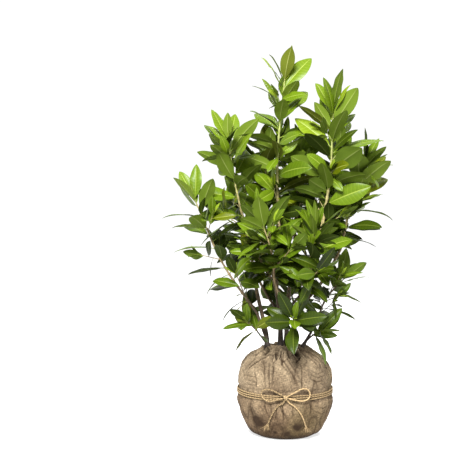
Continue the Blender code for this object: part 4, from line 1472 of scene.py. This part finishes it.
def twine_pieces():
    """The three turns round the waist, the two loops, the two frayed tails and the knot."""
    # The turns get a shaded copy of the twine and the bow a lit copy: painted shade and painted light.
    material = twine("twine_turns", TURNS_PAINTED_SHADE)
    for step, place in zip((-1, 0, 1), ("lower", "middle", "upper")):
        turn_piece(step, "twine_turn_" + place, material)
    material = twine("twine_bow", BOW_PAINTED_LIGHT)
    for name, points in BOW.items():
        bow_piece(name, points, material)
    knot_piece(material)


def plain(name, colour, roughness, shine=0.5):
    """A Principled material with plain values on its own sockets."""
    material = bpy.data.materials.new(name)
    material.use_nodes = True
    shader = material.node_tree.nodes["Principled BSDF"]
    shader.inputs["Base Color"].default_value = (*colour, 1)
    shader.inputs["Roughness"].default_value = roughness
    shader.inputs["Specular IOR Level"].default_value = shine
    material.diffuse_color = (*colour, 1)
    return material


class Nodes:
    """A Principled material that is wired up node by node."""

    def __init__(self, name):
        self.material = bpy.data.materials.new(name)
        self.material.use_nodes = True
        self.tree = self.material.node_tree
        self.shader = self.tree.nodes["Principled BSDF"]

    def link(self, source, target):
        self.tree.links.new(source, target)

    def set(self, socket, value):
        if isinstance(value, bpy.types.NodeSocket):
            self.link(value, socket)
        else:
            socket.default_value = value

    def attribute(self, name):
        node = self.tree.nodes.new("ShaderNodeAttribute")
        node.attribute_name = name
        return node.outputs["Fac"]

    def place(self, output="Object"):
        return self.tree.nodes.new("ShaderNodeTexCoord").outputs[output]

    def scaled(self, vector, scale):
        node = self.tree.nodes.new("ShaderNodeMapping")
        self.link(vector, node.inputs["Vector"])
        node.inputs["Scale"].default_value = scale
        return node.outputs["Vector"]

    def noise(self, vector, scale, detail=3.0, distortion=0.0):
        node = self.tree.nodes.new("ShaderNodeTexNoise")
        self.link(vector, node.inputs["Vector"])
        node.inputs["Scale"].default_value = scale
        node.inputs["Detail"].default_value = detail
        node.inputs["Distortion"].default_value = distortion
        return node.outputs["Fac"]

    def ramp(self, factor, stops):
        node = self.tree.nodes.new("ShaderNodeValToRGB")
        self.set(node.inputs["Fac"], factor)
        points = node.color_ramp.elements
        while len(points) < len(stops):
            points.new(0.5)
        for point, (at, colour) in zip(points, stops):
            point.position = at
            colour = (colour,) * 3 if isinstance(colour, float) else colour
            point.color = (*colour, 1)
        return node.outputs["Color"]

    def mix(self, factor, first, second, kind="MIX"):
        node = self.tree.nodes.new("ShaderNodeMix")
        node.data_type = "RGBA"
        node.blend_type = kind
        self.set(node.inputs["Factor"], factor)
        for socket, value in ((node.inputs[6], first), (node.inputs[7], second)):
            self.set(socket, (*value, 1) if isinstance(value, tuple) else value)
        return node.outputs[2]

    def maths(self, kind, first, second=0.0):
        node = self.tree.nodes.new("ShaderNodeMath")
        node.operation = kind
        self.set(node.inputs[0], first)
        self.set(node.inputs[1], second)
        return node.outputs[0]

    def bump(self, height, strength, distance):
        node = self.tree.nodes.new("ShaderNodeBump")
        node.inputs["Strength"].default_value = strength
        node.inputs["Distance"].default_value = distance
        self.link(height, node.inputs["Height"])
        self.link(node.outputs["Normal"], self.shader.inputs["Normal"])

    def done(self, colour, roughness, **plain_values):
        self.set(self.shader.inputs["Base Color"], colour)
        self.shader.inputs["Roughness"].default_value = roughness
        for socket, value in plain_values.items():
            self.shader.inputs[socket.replace("_", " ")].default_value = value
        return self.material


def bark(name):
    """Bark, dark brown at the foot, tan further up and green-tan where it enters the leaves."""
    made = Nodes(name)
    place = made.place()
    patches = made.noise(place, 90, 4)
    fissures = made.noise(made.scaled(place, (260, 260, 40)), 1.0, 3)
    height = made.maths("ADD", made.attribute("tint"), made.maths("MULTIPLY", patches, 0.12))
    colour = made.ramp(height, (
        (0.36, (0.020, 0.012, 0.006)), (0.46, (0.060, 0.038, 0.018)), (0.60, (0.190, 0.135, 0.060)),
        (0.80, (0.240, 0.200, 0.075)), (1.0, (0.230, 0.260, 0.070))))
    colour = made.mix(0.75, colour, made.ramp(fissures, ((0.35, 0.45), (0.65, 1.15))), "MULTIPLY")
    colour = made.mix(0.5, colour, made.ramp(patches, ((0.4, 0.75), (0.6, 1.2))), "MULTIPLY")
    made.bump(fissures, 0.5, 0.0008)
    return made.done(colour, 0.8)


def burlap():
    """Plain-woven jute: threads both ways with slubs, with painted shade in its folds, low down and at its
    foot, and darker where it is damp.
    """
    made = Nodes("burlap")
    uv = made.place("UV")
    place = made.place()
    slub_round = made.noise(made.scaled(uv, (90, 620, 1)), 1.0, 2)
    slub_up = made.noise(made.scaled(uv, (620, 90, 1)), 1.0, 2)
    split = made.tree.nodes.new("ShaderNodeSeparateXYZ")
    made.link(uv, split.inputs[0])
    pitch = 2 * math.pi / THREAD_PITCH
    threads = [made.maths("MULTIPLY", split.outputs[axis], pitch) for axis in (0, 1)]
    weave = made.maths("ADD", *[made.maths("SINE", thread) for thread in threads])
    mottle = made.noise(place, 14, 5, 0.4)
    broad = made.noise(place, 5, 2)
    colour = made.ramp(mottle, (
        (0.30, (0.100, 0.071, 0.043)), (0.50, (0.165, 0.123, 0.076)), (0.70, (0.230, 0.175, 0.110))))
    both = made.maths("MULTIPLY", made.maths("ADD", slub_round, slub_up), 0.5)
    colour = made.mix(1.0, colour, made.ramp(both, ((0.36, 0.34), (0.50, 0.95), (0.64, 1.75))), "MULTIPLY")
    colour = made.mix(0.35, colour, made.ramp(weave, ((0.0, 0.70), (1.0, 1.15))), "MULTIPLY")
    height = made.tree.nodes.new("ShaderNodeSeparateXYZ")
    made.link(place, height.inputs[0])
    # Painted shade: the cloth darker towards the bottom of the ball.
    level = made.maths("ADD", height.outputs[2], made.maths("MULTIPLY", mottle, 0.09))
    low = made.ramp(level, ((0.05, 1.0), (0.15, 0.60), (0.26, 0.0)))
    colour = made.mix(low, colour, made.mix(1.0, colour, (0.62, 0.52, 0.45), "MULTIPLY"))
    # Painted contact shadow at the cloth's foot, together with a damp rim.
    edge = made.ramp(height.outputs[2], ((0.004, 1.0), (0.014, 0.6), (0.034, 0.0)))
    colour = made.mix(edge, colour, made.mix(1.0, colour, (0.42, 0.38, 0.34), "MULTIPLY"))
    mossy = made.ramp(broad, ((0.52, 0.0), (0.68, 0.55)))
    colour = made.mix(mossy, colour, made.mix(1.0, colour, (0.82, 0.92, 0.66), "MULTIPLY"))
    # Painted shade in the folds, neck pleats and creases, from the tint.
    colour = made.mix(made.maths("MULTIPLY", made.attribute("tint"), 0.90), colour, (0.020, 0.011, 0.005))
    colour = made.mix(made.maths("MULTIPLY", made.attribute("stain"), 0.96), colour, (0.022, 0.012, 0.006))
    relief = made.maths("ADD", made.maths("MULTIPLY", weave, 0.25), both)
    made.bump(relief, 0.6, 0.0012)
    return made.done(colour, 0.95, Specular_IOR_Level=0.15)


def twine(name, light):
    """Jute twine, its plies streaked along their length, with painted light and shade round their twist, all
    lightened or darkened by light.
    """
    made = Nodes(name)
    place = made.place()
    streaks = made.noise(place, 700, 3)
    colour = made.ramp(streaks, (
        (0.30, (0.130, 0.082, 0.040)), (0.50, (0.240, 0.168, 0.086)), (0.72, (0.360, 0.268, 0.150))))
    ply_light_and_shade = made.ramp(made.attribute("tint"), ((0.0, 0.32 * light), (1.0, 1.30 * light)))
    colour = made.mix(1.0, colour, ply_light_and_shade, "MULTIPLY")
    made.bump(streaks, 0.5, 0.0006)
    return made.done(colour, 0.9, Specular_IOR_Level=0.15)


def leaf_materials():
    """Every kind of face in every tone, in the order of their numbers."""
    made = []
    for tone, colours in TONES_AND_PAINTED_SHADE.items():
        for (kind, (roughness, shine)), colour in zip(LEAF_KINDS.items(), colours):
            made.append(plain(f"leaf_{tone}_{kind}", colour, roughness, shine))
    return made


def tone_of(height, rng):
    """A leaf's tone by its share of the way up, with scatter: lighter at the top, partly young leaves and
    partly painted light, darker below as painted shade.
    """
    fresh_and_lit = height + rng.gauss(0, TONE_SCATTER)
    if rng.random() < OLIVE_SHARE:
        return TONE_NAMES.index("olive")
    for limit, tone in TONE_AND_SHADE_LIMITS:
        if fresh_and_lit > limit:
            return TONE_NAMES.index(tone)
    return TONE_NAMES.index("shade")


def leaves_piece(name, stem, twigs, leaves, materials):
    """All leaves of one mass, and the young ones at the apex of its stem and of each twig."""
    rng = random.Random(name)
    skin = Skin()
    foot, tip = stem.at(0).z, stem.at(1).z
    for leaf in leaves:
        in_mass = (leaf.root.z - foot) / (tip - foot)
        in_plant = (leaf.root.z - BALL_TOP) / (PLANT_TOP - BALL_TOP)
        # Tones by height: leaves high up are lighter, partly as painted light, and low ones darker as painted
        # shade.
        add_leaf(skin, leaf, tone_of(MASS_WEIGHT * in_mass + PLANT_WEIGHT * in_plant, rng), rng)
    for route in [stem] + twigs:
        for leaf in young_leaves(route, SHOOTS[name].size, rng):
            add_leaf(skin, leaf, TONE_NAMES.index("young"), rng)
    skin.piece(name + "_leaves", materials, [name])


def stems_piece(name, stem, twigs, leaves, limbs):
    """The stem and the twigs of one mass."""
    shoot = SHOOTS[name]
    skin = Skin()
    add_stem(skin, stem, leaves, limbs[shoot.limb].at(shoot.at) if shoot.at < 1 else None)
    for twig in twigs:
        add_stem(skin, twig, [], None)
    skin.piece(name + "_stems", [bark(name + "_stem")], [name])


def main():
    """Grows the plant as the solids do, with finer growth, and makes every piece."""
    space = Space()
    space.take("root_ball", ball_solid())
    limbs = limb_routes()
    for name, route in limbs.items():
        space.take(name, tube(route, LIMB_RINGS, LIMB_SIDES))
    crown = grow_crown(limbs, space)
    materials = leaf_materials()
    for name, (stem, twigs, leaves) in crown.items():
        if name in FINER:
            finer, small = grow_finer(name, stem, leaves, space)
            twigs, leaves = twigs + finer, leaves + small
        leaves_piece(name, stem, twigs, leaves, materials)
        stems_piece(name, stem, twigs, leaves, limbs)
    for name, route in limbs.items():
        skin = Skin()
        parent = BOUGHS.get(name)
        add_limb(skin, name, route, limbs[parent[0]].at(parent[1]) if parent else None)
        skin.piece(name + "_bark", [bark(name + "_bark")], [name])
    ball_piece()
    twine_pieces()


def white_world():
    """A plain white world, shown as it is."""
    world = bpy.data.worlds.new("white")
    world.use_nodes = True
    world.node_tree.nodes["Background"].inputs["Color"].default_value = (1, 1, 1, 1)
    world.node_tree.nodes["Background"].inputs["Strength"].default_value = WORLD_LIGHT
    bpy.context.scene.world = world
    bpy.context.scene.view_settings.view_transform = "Standard"


def white_floor():
    """The floor, whose own glow keeps it white."""
    far = FLOOR_REACH
    mesh = bpy.data.meshes.new("floor")
    mesh.from_pydata([(-far, -far, 0), (far, -far, 0), (far, far, 0), (-far, far, 0)], [], [(0, 1, 2, 3)])
    mesh.materials.append(plain("floor_white", (FLOOR_WHITE,) * 3, 0.9))
    shader = mesh.materials[0].node_tree.nodes["Principled BSDF"]
    shader.inputs["Emission Color"].default_value = (1, 1, 1, 1)
    shader.inputs["Emission Strength"].default_value = FLOOR_GLOW
    floor = bpy.data.objects.new("floor", mesh)
    bpy.context.scene.collection.objects.link(floor)


def placed(name, data, place, aim):
    """A lamp or camera at a place, turned towards a point."""
    made = bpy.data.objects.new(name, data)
    made.location = place
    made.rotation_euler = (Vector(aim) - Vector(place)).to_track_quat("-Z", "Y").to_euler()
    bpy.context.scene.collection.objects.link(made)
    return made


def set_scene():
    """A plain white floor and world, soft light, and the camera at the photo's angle."""
    white_world()
    white_floor()
    for name, (place, energy, size) in LAMPS.items():
        light = bpy.data.lights.new(name, "AREA")
        light.energy = energy
        light.size = size
        lamp = placed(name, light, place, LAMP_AIM)
        lamp.visible_glossy = name != "back"
    camera = placed("camera", bpy.data.cameras.new("camera"), CAMERA_PLACE, CAMERA_AIM)
    camera.data.lens = CAMERA_LENS
    bpy.context.scene.camera = camera


main()
set_scene()
